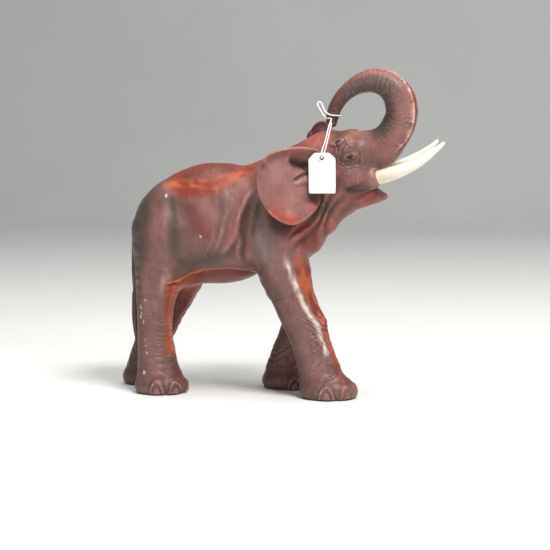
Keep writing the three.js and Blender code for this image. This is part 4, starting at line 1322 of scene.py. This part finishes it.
def dye_and_light_trunk(at, colour):
    trunk = at["trunk"]
    s, angle = trunk["s"], trunk["angle"]
    q, off, seam = columns(angle * 0.3, 0, s), np.abs(angle), seam_angle(trunk)
    # The pale broken line along the seam's ridge: partly pale ticks in the leather, partly a painted
    # highlight.
    ticks = cloud(columns(seam, 0, s), (30, 9, 2.6), 92, 0.55)
    line = 0.9 * bump(seam, 0.5, 3.8) * np.clip(0.25 + ticks, 0, 1) + 0.5 * bump(seam, 7, 9) * ticks**3
    rings = grooves(s, q, 4.5, 93, 0.7)
    base = (0.28, 0.118, 0.112)
    for tint, share in (
        (MAUVE, 0.6 * cloud(q, (12, 9, 20), 91, 0.4, 0.7)),
        ((0.06, 0.046, 0.038), 0.9 * step(off, 76, 128)),
        ((0.085, 0.058, 0.05), 0.85 * step(s, 80, 116) * step(off, 20, 60)),
        ((0.25, 0.05, 0.042), 0.75 * step(s, 108, 130) * step(off, 62, 25)),
        ((0.20, 0.045, 0.034), 0.7 * step(seam, -4, -14) * step(s, 120, 100)),
        ((0.74, 0.42, 0.34), line * step(s, 14, 30) * step(s, 128, 112)),
        (WINE, 0.85 * step(s, 166, 196)),
        ((0.05, 0.03, 0.028), 0.55 * rings * step(s, 120, 165) * step(off, 60, 100)),
    ):
        base = mix(base, tint, share)
    return mix(colour, base, trunk["on"])


def dye_and_shade_head(at, colour):
    p, x, z, q = at["p"], at["x"], at["z"], at["head"]
    place = upright(at)
    low = step(q[:, 2], 279, 268)
    base = mix(MAUVE, (0.11, 0.058, 0.048), 0.6 * cloud(p, 14, 103, 0.4))
    base = mix(base, PINK, 0.3 * cloud(p, 19, 101, 0.3))
    base = mix(base, (0.36, 0.095, 0.075), 0.85 * step(x, 142, 116) * step(z, 322, 344))
    base = mix(base, ORANGE, 0.5 * spot(x - 104, z - 352, 15))
    base = paint(base, place, [(OLIVE, 0.6, [(120, 352), (134, 351), (146, 350)], 5)])
    base = mix(base, (0.50, 0.17, 0.03), 0.6 * spot(x - 150, z - 352, 7))
    base = paint(base, place, JAW_SHADE)
    base = mix(base, RED, 0.65 * low * cloud(p, 15, 102, 0.6, 0.8))
    base = mix(base, (0.36, 0.07, 0.05), 0.7 * low * bump(x, 162, 14))
    lips = step(x, 166, 176) * step(q[:, 2], 290, 284) * step(q[:, 2], 262, 268)
    base = mix(base, (0.20, 0.06, 0.045), 0.8 * lips)
    # Painted shade in the crease of the mouth, between the upper lip and the jaw.
    gap = [(140, 279), (154, 280), (166, 281), (180, 280)]
    base = paint(base, place, [((0.025, 0.014, 0.011), 0.9, gap, 4.0, 0.1)])
    collar = [bump(np.linalg.norm(p - c, axis=1), 12, 5) for c in ((170, -24, 292), (166, 24, 296))]
    base = mix(base, (0.10, 0.07, 0.045), 0.45 * np.maximum(*collar) * step(q[:, 2], 290, 284))
    for side in EYES:
        base = mix(base, (0.13, 0.062, 0.05), 0.5 * bump(eye_reach(at, side)[2], 0, 9))
    # Painted shade on the head's sides under and behind the ear's root.
    behind = step(at["neck"], 26, 0) * step(z, 340, 325) * (np.abs(at["y"]) > 22)
    return mix(colour, mix(base, OLIVE, 0.75 * behind), at["on_head"])


def dye_and_shade_neck(at, colour):
    x, z, aside = at["x"], at["z"], np.abs(at["y"])
    near, fold = neck_mask(at), neck_fold(at)
    edge = near * step(at["n"][:, 0], 0.3, 0.75) * step(z, 285, 262) * step(z, 212, 232)
    # Painted shadow cast by the ear's lower edge on the neck and shoulder.
    hollow = step(np.hypot(x - 58, (z - 238) * 0.8), 20, 9) * (aside > 18)
    # Painted shade under the jaw, by the front of the ear's root.
    jaw_corner_shade = np.clip(1.25 * spot(x - 107, z - 257, (17, 9.5)) * (aside > 14), 0, 1)
    # Painted shade under the ear, just behind the head.
    behind = bump(at["neck"], 2, 17) * step(z, 322, 305) * step(z, 236, 250) * (aside > 14)
    for tint, share in (
        ((0.20, 0.06, 0.05), 0.8 * near),
        (RED, 0.7 * near * cloud(at["p"], (12, 20, 26), 111)),
        ((0.30, 0.07, 0.05), 0.6 * near * step(fold, 0.3, 1)),
        # painted shade in the valleys of the neck's folds
        ((0.045, 0.03, 0.022), 0.75 * near * step(fold, -0.3, -1)),
        ((0.33, 0.06, 0.032), 0.6 * edge),
        (UNDER_EAR_SHADE, 0.8 * np.maximum(hollow, jaw_corner_shade)),
        ((0.035, 0.026, 0.018), 0.8 * behind),
    ):
        colour = mix(colour, tint, share)
    return colour


def dye_and_shading(at, plates):
    """The colour rubbed into the leather at each point, with painted shade and painted highlights laid over
    it in places.
    """
    colour = dye_and_shade_torso(at, np.tile(MAUVE, (len(at["x"]), 1)))
    for name in LEGS:
        colour = dye_light_and_shade_leg(at, name, colour)
    for more in (shade_and_light_folds, dye_and_light_belly, dye_and_shade_head, dye_and_shade_neck, dye_and_light_trunk):
        colour = more(at, colour)
    colour = mix(colour, PINK, 0.55 * plates)
    for x, y, z, r in FLECKS:
        away = np.linalg.norm((at["p"] - (x, y, z)) * (1.25, 1, 0.8), axis=1)
        away += 1.3 * noise(at["p"], 1.7, 121)
        colour = mix(colour, CREAM, 0.85 * step(away, 0.85 * r + 0.5, 0.85 * r - 0.6))
    return np.clip(colour, DARKEST, PALEST)


# ---------------------------------------------------------------- panels

FRONT_CUT = {"x": 18, "z": 160}
REAR_CUT = {"x": -66, "z": 152}
PANELS = ["flank_panel_right", "flank_panel_left", "belly_panel", "head_panel", "trunk_panel",
          "leg_panel_front_right", "leg_panel_front_left", "leg_panel_rear_right", "leg_panel_rear_left"]
PANEL_DEPTH = 1.8
HIGHEST_AT_SOLE = 0.8
BELLY_ENDS = (-98, 24)


def panel_of(middles):
    """The panel that each face belongs to, by the source's own cuts."""
    x, y, z = middles.T
    names = np.where(y < 0, "flank_panel_right", "flank_panel_left").astype("<U24")
    belly = (z < belly_height(x)) & (x > BELLY_ENDS[0]) & (x < BELLY_ENDS[1])
    names[belly] = "belly_panel"
    for place, inside in (("front", (x > FRONT_CUT["x"]) & (z < FRONT_CUT["z"])),
                          ("rear", (x < REAR_CUT["x"]) & (z < REAR_CUT["z"]))):
        names[inside & (y < 0)] = f"leg_panel_{place}_right"
        names[inside & (y >= 0)] = f"leg_panel_{place}_left"
    names[(past_neck(x, z) > 0) & (z > CHEST_Z)] = "head_panel"
    trunk = trunk_places(middles)
    beyond = trunk["curled"] | ((trunk["ahead"] > 0) & (trunk["s"] > 20) & (trunk["away"] < 34))
    names[beyond & (x > 100)] = "trunk_panel"
    return names


def cut_panel(points, quads, normals, values):
    """One panel's own vertices, with an edge turned in as deep as the leather is thick."""
    used, flat = np.unique(quads, return_inverse=True)
    faces = flat.reshape(quads.shape)
    pts, nrm = points[used], normals[used]
    edges = edges_of(faces)
    key = np.sort(edges, axis=1)
    _, index, counts = np.unique(key[:, 0] * len(used) + key[:, 1], return_index=True, return_counts=True)
    rim = edges[index[counts == 1]]
    rim_points = np.unique(rim)
    inner = np.full(len(used), -1)
    inner[rim_points] = len(used) + np.arange(len(rim_points))
    skirt = np.column_stack([rim[:, 1], rim[:, 0], inner[rim[:, 0]], inner[rim[:, 1]]])
    pts = np.vstack([pts, pts[rim_points] - PANEL_DEPTH * nrm[rim_points]])
    pts[:, 2] = np.maximum(pts[:, 2], SOLE_TOP)
    keep = np.concatenate([used, used[rim_points]])
    kept = {name: value[keep] for name, value in values.items()}
    return pts, np.vstack([faces, skirt]), np.vstack([nrm, nrm[rim_points]]), kept


def curvature_values(points, quads, normals):
    """How hollow and how proud each point lies, from 0 to 1, at the scale of a wrinkle."""
    edges = edges_of(quads)
    hollow = np.zeros(len(points))
    for rounds, gain in ((2, 2.2), (9, 0.75)):
        soft = spread_out(points, edges, rounds)
        hollow += gain * np.einsum("ij,ij->i", soft - points, normals)
    hollow = spread_out(hollow, edges, 1)
    return np.clip(hollow * 1.5 - 0.08, 0, 1), np.clip(-hollow * 1.3 - 0.12, 0, 1)


def make_hide():
    points, quads = hide_surface()
    normals = vertex_normals(points, quads)
    at = places(points, normals)
    height, plates = relief(at)
    foot = points[:, 2] <= SOLE_TOP + 0.01
    raised = points + normals * np.where(foot, np.minimum(height, HIGHEST_AT_SOLE), height)[:, None]
    raised[:, 2] = np.where(foot, SOLE_TOP, np.maximum(raised[:, 2], SOLE_TOP))
    new_normals = vertex_normals(raised, quads)
    # These darken the creases and pale the ridges in the colour: partly antique finish and scuffing, partly
    # painted shade and highlight.
    crease_antique_and_shade, wear_and_highlight = curvature_values(raised, quads, new_normals)
    values = {"dye_and_shading": dye_and_shading(at, plates), "crease_antique_and_shade": crease_antique_and_shade, "wear_and_highlight": wear_and_highlight}
    names = panel_of(points[quads].mean(axis=1))
    for name in PANELS:
        pts, faces, nrm, kept = cut_panel(raised, quads[names == name], new_normals, values)
        panel = make_piece(name, pts, faces, kept, nrm)
        finish_piece(panel, HIDE, name.replace("panel", "leather"))


make_hide()

# ---------------------------------------------------------------- ears

EAR = {"root": 40, "flare": 42, "back": 34, "length": 68, "middle": (66, 287), "around": 190}
EAR_OUTLINE = [(104, 327), (92, 333), (72, 333), (52, 327), (40, 314), (34, 294), (36, 272), (46, 252),
               (60, 238), (76, 232), (90, 237), (102, 251), (108, 266)]
LEFT_EAR = {"turn": math.radians(24), "lift": math.radians(10), "up": 28}
EAR_TOP = [(44, 318), (56, 328), (74, 332), (98, 329), (108, 322)]
EAR_HOLE = [(98, 300), (86, 295), (76, 288)]

# rolled top, hollow under it, curled lobe, and the folds by the hole
EAR_STROKES = [
    (6.5, [(40, 312), (52, 325), (66, 330), (84, 330), (98, 328), (108, 322)], 6.5, 0.08),
    (-9.0, [(70, 317), (84, 313), (102, 304)], 7.5, 0.25),
    (3.4, [(46, 258), (60, 243), (76, 238), (94, 243)], 12, 0.4),
    (2.4, [(92, 242), (101, 254), (107, 270)], 7, 0.4),
    (2.6, [(98, 293), (86, 289), (76, 283)], 3.2, 0.3), (-4.0, EAR_HOLE, 2.2, 0.3),
    (1.5, [(82, 284), (86, 272), (82, 258)], 6, 0.2),
    (1.4, [(40, 306), (37, 290), (39, 272), (49, 254)], 4, 0.1),
]
EAR_DYE_LIGHT_AND_SHADE = [
    ((0.36, 0.07, 0.05), 0.7, [(90, 244), (99, 253), (107, 272)], 4, 0.3),
    ((0.20, 0.036, 0.028), 0.85, EAR_TOP, 6.5, 0.05),
    # painted highlight along the crest of the rolled top
    ((0.40, 0.13, 0.09), 0.55, [(50, 323), (64, 331), (80, 333), (96, 331)], 2, 0.1),
    # painted shadow in the hollow under the rolled top
    ((0.03, 0.009, 0.008), 0.92, [(76, 314), (88, 310), (102, 303)], 7, 0.15),
    # painted shade in the hollow by the ear's root, and in the fold by the hole
    ((0.07, 0.036, 0.03), 0.8, [(99, 298), (102, 284), (100, 270), (94, 258)], 8, 0.1),
    ((0.045, 0.014, 0.013), 0.75, EAR_HOLE, 2.0, 0.3),
]


def ear_shape(x, z):
    """How far the ear stands out from its plain sheet."""
    h = carve({"x": x, "z": z}, EAR_STROKES)
    h += 3.2 * spot(x - 58, z - 292, (20, 26)) - 3.0 * spot(x - 98, z - 284, (12, 22))
    return h + 0.5 * noise(columns(x, z, 0), (19, 28, 9), 131)


def dye_light_and_shade_ear(x, z, share, outer):
    p, at = columns(x, z, 0), {"x": x, "z": z}
    colour = mix((0.28, 0.122, 0.116), (0.17, 0.066, 0.057), 0.5 * cloud(p, 20, 141, 0.3, 0.7))
    # Painted highlights on the ear's broad face.
    colour = mix(colour, (0.36, 0.17, 0.15), 0.7 * spot(x - 56, z - 300, (10, 17)))
    colour = mix(colour, (0.38, 0.18, 0.155), 0.6 * spot(x - 72, z - 266, (9, 11)))
    low = [(44, 260), (60, 243), (76, 237), (94, 244)]
    colour = paint(colour, at, [((0.38, 0.055, 0.035), 0.9, low, 10, 0.35)])
    # Painted highlight on the outward curl of the lower lobe.
    colour = mix(colour, (0.44, 0.19, 0.12), 0.75 * spot(x - 72, (z - 247) * 1.2, 6))
    colour = paint(colour, at, EAR_DYE_LIGHT_AND_SHADE)
    colour = mix(colour, (0.40, 0.20, 0.17), 0.4 * step(share, 0.95, 1.0))
    colour = mix(colour, (0.12, 0.02, 0.016), 0.75 * (1 - outer))
    return np.clip(colour, DARKEST, PALEST)


def ear_skin(x, z, out):
    """Points that far out from the ear's plain sheet, which flares away from the head."""
    forward = (x - EAR["back"]) / EAR["length"]
    slope = -2 * EAR["flare"] * forward / EAR["length"]
    across = columns(-slope, 1, 0) / np.hypot(1, slope)[:, None]
    return columns(x, EAR["root"] + EAR["flare"] * (1 - forward**2), z) + across * out[:, None]


def ear_grid():
    """X, Z and share of the way to the rim, in rings round the ear's middle, and the rim itself."""
    around, middle = EAR["around"], np.array(EAR["middle"])
    rings = np.concatenate([np.linspace(0.03, 0.9, 40), [0.915, 0.93, 0.945, 0.96, 0.972, 0.985]])
    rim = catmull([(x, 0, z) for x, z in EAR_OUTLINE], np.arange(around) / around, closed=True)[:, [0, 2]]
    flat = np.vstack([middle[None], *(middle + (rim - middle) * share for share in rings)])
    return *flat.T, np.append(0, np.repeat(rings, around)), len(rings), rim.T


def ear_faces(rings, around):
    """The outer sheet, the inner one, and the lip between them."""
    sheet = fan(0, 1, around) + ring_quads(rings, around, 1)
    n = 1 + rings * around
    faces = sheet + flipped([[v + n for v in face] for face in sheet])
    last = n - around
    beside = [(a, (a + 1) % around) for a in range(around)]
    faces += [[last + a, last + b, 2 * n + b, 2 * n + a] for a, b in beside]
    faces += [[2 * n + a, 2 * n + b, n + last + b, n + last + a] for a, b in beside]
    return faces


def swing_ear(points):
    """The far ear is turned out and lifted from where it meets the head."""
    root = np.array([EAR["back"] + EAR["length"], EAR["root"], HEAD_PIVOT_Z])
    turn = Matrix.Rotation(LEFT_EAR["lift"], 3, "X") @ Matrix.Rotation(-LEFT_EAR["turn"], 3, "Z")
    return (points - root) @ np.array(turn).T + root + (0, 0, LEFT_EAR["up"])


def make_ear(side):
    x, z, share, rings, rim = ear_grid()
    shape = ear_shape(x, z)
    thick = 1.7 + 0.5 * step(share, 0.5, 0.0) + 0.9 * step(share, 0.9, 0.97) - 1.7 * step(share, 0.955, 1.0)
    points = np.vstack([ear_skin(x, z, shape + thick), ear_skin(x, z, shape * 0.8 - thick),
                        ear_skin(*rim, ear_shape(*rim) * 0.9)])
    faces = ear_faces(rings, EAR["around"])
    on_rim, n = np.ones(EAR["around"]), len(x)
    share = np.concatenate([share, share, on_rim])
    outer = np.concatenate([np.ones(n), np.zeros(n), on_rim])
    colour = dye_light_and_shade_ear(np.concatenate([x, x, rim[0]]), np.concatenate([z, z, rim[1]]), share, outer)
    if side < 0:
        points, faces = points * (1, -1, 1), flipped(faces)
    else:
        points = swing_ear(points)
    quads = np.array([f if len(f) == 4 else [*f, f[-1]] for f in faces])
    hollow, proud = curvature_values(points, quads, vertex_normals(points, quads))
    plain = step(share, 0.12, 0.3)
    name = "right" if side < 0 else "left"
    # Creases darkened and ridges paled as on the hide: partly antique finish and scuffing, partly painted
    # shade and highlight.
    values = {"dye_and_shading": colour, "crease_antique_and_shade": plain * hollow, "wear_and_highlight": plain * proud}
    obj = make_piece(f"ear_fan_{name}", points, faces, values)
    finish_piece(obj, EAR_LEATHER, f"ear_{name}")


make_ear(-1)
make_ear(1)

# ---------------------------------------------------------------- tusks, eyes, tail and soles

TAIL = [(-146, 8, 258, 6), (-158, 11, 240, 5.4), (-165, 12, 216, 5), (-167, 10, 188, 4.6),
        (-165.5, 5, 158, 4.4), (-162.5, 0, 128, 4.6)]
TUFT = [(-162.6, -0.2, 131, 5.6), (-162, -1, 117, 6.2), (-161, -2, 100, 6.8), (-160.5, -3, 84, 5.6),
        (-160.5, -3, 64, 2.6)]
EYE_RINGS, EYE_AROUND = 22, 40


def rounded_run(stations, steps, cap=6):
    """A run of stations that closes in a half ball at each end."""
    line = smooth_stations(stations, steps)
    ends = []
    for end, ahead in ((line[0], line[0, :3] - line[1, :3]), (line[-1], line[-1, :3] - line[-2, :3])):
        ahead = unit(ahead)
        for i in range(1, cap + 1):
            angle = i / (cap + 0.4) * math.pi / 2
            ends.append([*(end[:3] + ahead * end[3] * math.sin(angle)), end[3] * math.cos(angle)])
    return np.vstack([ends[:cap][::-1], line, ends[cap:]])


def rounded_tube(stations, steps, around):
    """A tube along a rounded run, and each point's direction out from the run."""
    run = rounded_run(stations, steps)
    points, faces, along, turn = tube(run[:, :3], run[:, 3], around)
    middle = np.vstack([np.repeat(run[:, :3], around, axis=0), run[[0, -1], :3]])
    return points, faces, along, turn, unit(points - middle)


def make_tusk(name):
    points, faces, along = rounded_tube(TUSKS[name], 44, 36)[:3]
    obj = make_piece(f"tusk_cast_{name}", points, faces, {"root": step(along, 0.52, 0.2)})
    finish_piece(obj, TUSK, f"tusk_{name}")


def make_eye(side):
    """A ball in rings round its gaze. iris: distance from the gaze, from 0 to 1."""
    middle, gaze = EYES[side], EYE_AXES[side][0]
    ahead = unit(np.cross(gaze, (0, 0, 1)))
    up = np.cross(ahead, gaze)
    points, iris = [middle + gaze * EYE_RADIUS], [0.0]
    for i in range(1, EYE_RINGS):
        a = i / EYE_RINGS * math.pi
        for b in circle(EYE_AROUND):
            ring = math.cos(b) * ahead + math.sin(b) * up
            points.append(middle + EYE_RADIUS * (math.cos(a) * gaze + math.sin(a) * ring))
            iris.append(math.sin(a) if a < math.pi / 2 else 1.0)
    points.append(middle - gaze * EYE_RADIUS)
    iris.append(1.0)
    last = len(points) - 1
    far_cap = [[tip, b, a] for tip, a, b in fan(last, last - EYE_AROUND, EYE_AROUND)]
    faces = fan(0, 1, EYE_AROUND) + ring_quads(EYE_RINGS - 1, EYE_AROUND, 1) + far_cap
    name = "right" if side < 0 else "left"
    obj = make_piece(f"eyeball_{name}", points, faces, {"iris": iris})
    finish_piece(obj, EYE_GLASS, f"eye_{name}")


def make_tail():
    points, faces, along, turn, out = rounded_tube(TAIL, 90, 24)
    q = np.column_stack([np.cos(turn) * 5, np.sin(turn) * 5, along * 150])
    # thin rings, where the noise crosses zero
    rings = step(1 - np.abs(noise(q, (14, 14, 5), 151)) * 1.6, 0.6, 1.0)
    points = points + out * (0.4 * noise(q, (6, 6, 14), 152) - 0.7 * rings)[:, None]
    # The ring grooves darken as the hide's creases do: partly antique finish, partly painted shade.
    values = {"dye_and_shading": mix(BROWN, MAUVE, cloud(q, 9, 153, 0.4, 0.6)), "crease_antique_and_shade": rings * 0.8,
              "wear_and_highlight": np.clip(noise(q, 7, 154), 0, 1) * 0.4}
    obj = make_piece("tail_tube", points, faces, values)
    finish_piece(obj, TAIL_LEATHER, "tail_leather")


def make_tuft():
    points, faces, along, turn, out = rounded_tube(TUFT, 60, 60)
    lock = np.cos(turn * 7 + 2.5 * along) * 0.6 + np.cos(turn * 17 - 4 * along) * 0.4
    points = points + out * (0.75 * lock * step(along, 0, 0.3) * step(along, 1, 0.9))[:, None]
    # Darker between the locks and paler on their crests: partly their colour, partly painted shade and
    # highlight.
    values = {"dye_and_shading": mix(WINE, MAUVE, np.clip(0.3 + 0.5 * lock, 0, 1)), "crease_antique_and_shade": np.clip(-lock, 0, 1),
              "wear_and_highlight": np.clip(lock - 0.5, 0, 1) * 0.6}
    obj = make_piece("tail_tuft_locks", points, faces, values)
    finish_piece(obj, TAIL_LEATHER, "tail_tuft")


for tusk_name in TUSKS:
    make_tusk(tusk_name)
for eye_side in EYES:
    make_eye(eye_side)
make_tail()
make_tuft()


def give_material(node, material):
    obj = bpy.data.objects.get(node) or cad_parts[node]
    obj.data.materials.clear()
    obj.data.materials.append(material)


def plain_leather():
    """The sole's leather. The CAD's own mesh holds no dye, so its colours are in the nodes."""
    m = Nodes("sole_edge")
    cloud = m.noise(120, 4, 0.6)
    fine = m.noise(900, 4, 0.6)
    colour = m.mix(m.span(cloud, 0.35, 0.65), (0.07, 0.045, 0.037), (0.13, 0.075, 0.06))
    colour = m.mix(m.span(fine, 0.5, 0.75, 0, 0.4), colour, (0.2, 0.12, 0.1))
    height = m.math("ADD", fine, m.cells(700))
    return m.finish(colour, m.span(cloud, 0.3, 0.7, 0.5, 0.7), m.bumps(height, 0.0004, 0.6))


SOLE_EDGE = plain_leather()
for node_name in list(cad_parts):
    if node_name.startswith("sole_"):
        give_material(node_name, SOLE_EDGE)
    elif "dowel" in node_name:
        give_material(node_name, DOWEL_WOOD)
    elif "core" in node_name:
        give_material(node_name, CORE_WOOD)

# ---------------------------------------------------------------- floor and light


FLOOR = {"half": 9.0, "back": 3.2, "radius": 1.5, "top": 6.0}
WORLD = {"colour": (0.80, 0.82, 0.84, 1), "strength": 0.34}
LIGHT_TARGET = Vector((0.0, 0.0, 0.2))
LIGHTS = [  # name, place, size, watts and colour
    ("key", (1.25, -1.2, 2.5), (1.0, 0.8), 100, (1.0, 0.985, 0.96)),
    ("fill", (-1.4, -2.2, 1.1), (1.8, 1.4), 11, (0.95, 0.98, 1.0)),
    ("top", (-0.2, 0.1, 2.6), (1.4, 1.4), 36, (1.0, 0.99, 0.97)),
]


def add_floor():
    """A pale floor that curves up far behind the elephant."""
    half, back, radius, top = (FLOOR[k] for k in ("half", "back", "radius", "top"))
    profile = [(-half, 0.0), (back, 0.0)]
    for angle in np.linspace(0, math.pi / 2, 25)[1:]:
        profile.append((back + radius * math.sin(angle), radius * (1 - math.cos(angle))))
    profile.append((back + radius, top))
    points = [(side, y, z) for y, z in profile for side in (-half, half)]
    faces = [(2 * i, 2 * i + 1, 2 * i + 3, 2 * i + 2) for i in range(len(profile) - 1)]
    mesh = bpy.data.meshes.new("floor")
    mesh.from_pydata(points, [], faces)
    mesh.polygons.foreach_set("use_smooth", np.ones(len(faces), bool))
    floor = link_object("floor", mesh)
    floor.data.materials.append(floor_material())


def add_light(name, place, size, watts, colour):
    data = bpy.data.lights.new(name, "AREA")
    data.shape = "RECTANGLE"
    data.size, data.size_y = size
    data.energy = watts
    data.color = colour
    light = link_object(name, data)
    light.location = place
    light.rotation_mode = "QUATERNION"
    light.rotation_quaternion = (LIGHT_TARGET - Vector(place)).to_track_quat("-Z", "Y")


def add_world():
    bpy.context.scene.view_settings.view_transform = "Standard"
    world = bpy.data.worlds.new("studio")
    world.use_nodes = True
    background = world.node_tree.nodes["Background"]
    background.inputs["Color"].default_value = WORLD["colour"]
    background.inputs["Strength"].default_value = WORLD["strength"]
    bpy.context.scene.world = world


add_floor()
add_world()
for light_row in LIGHTS:
    add_light(*light_row)
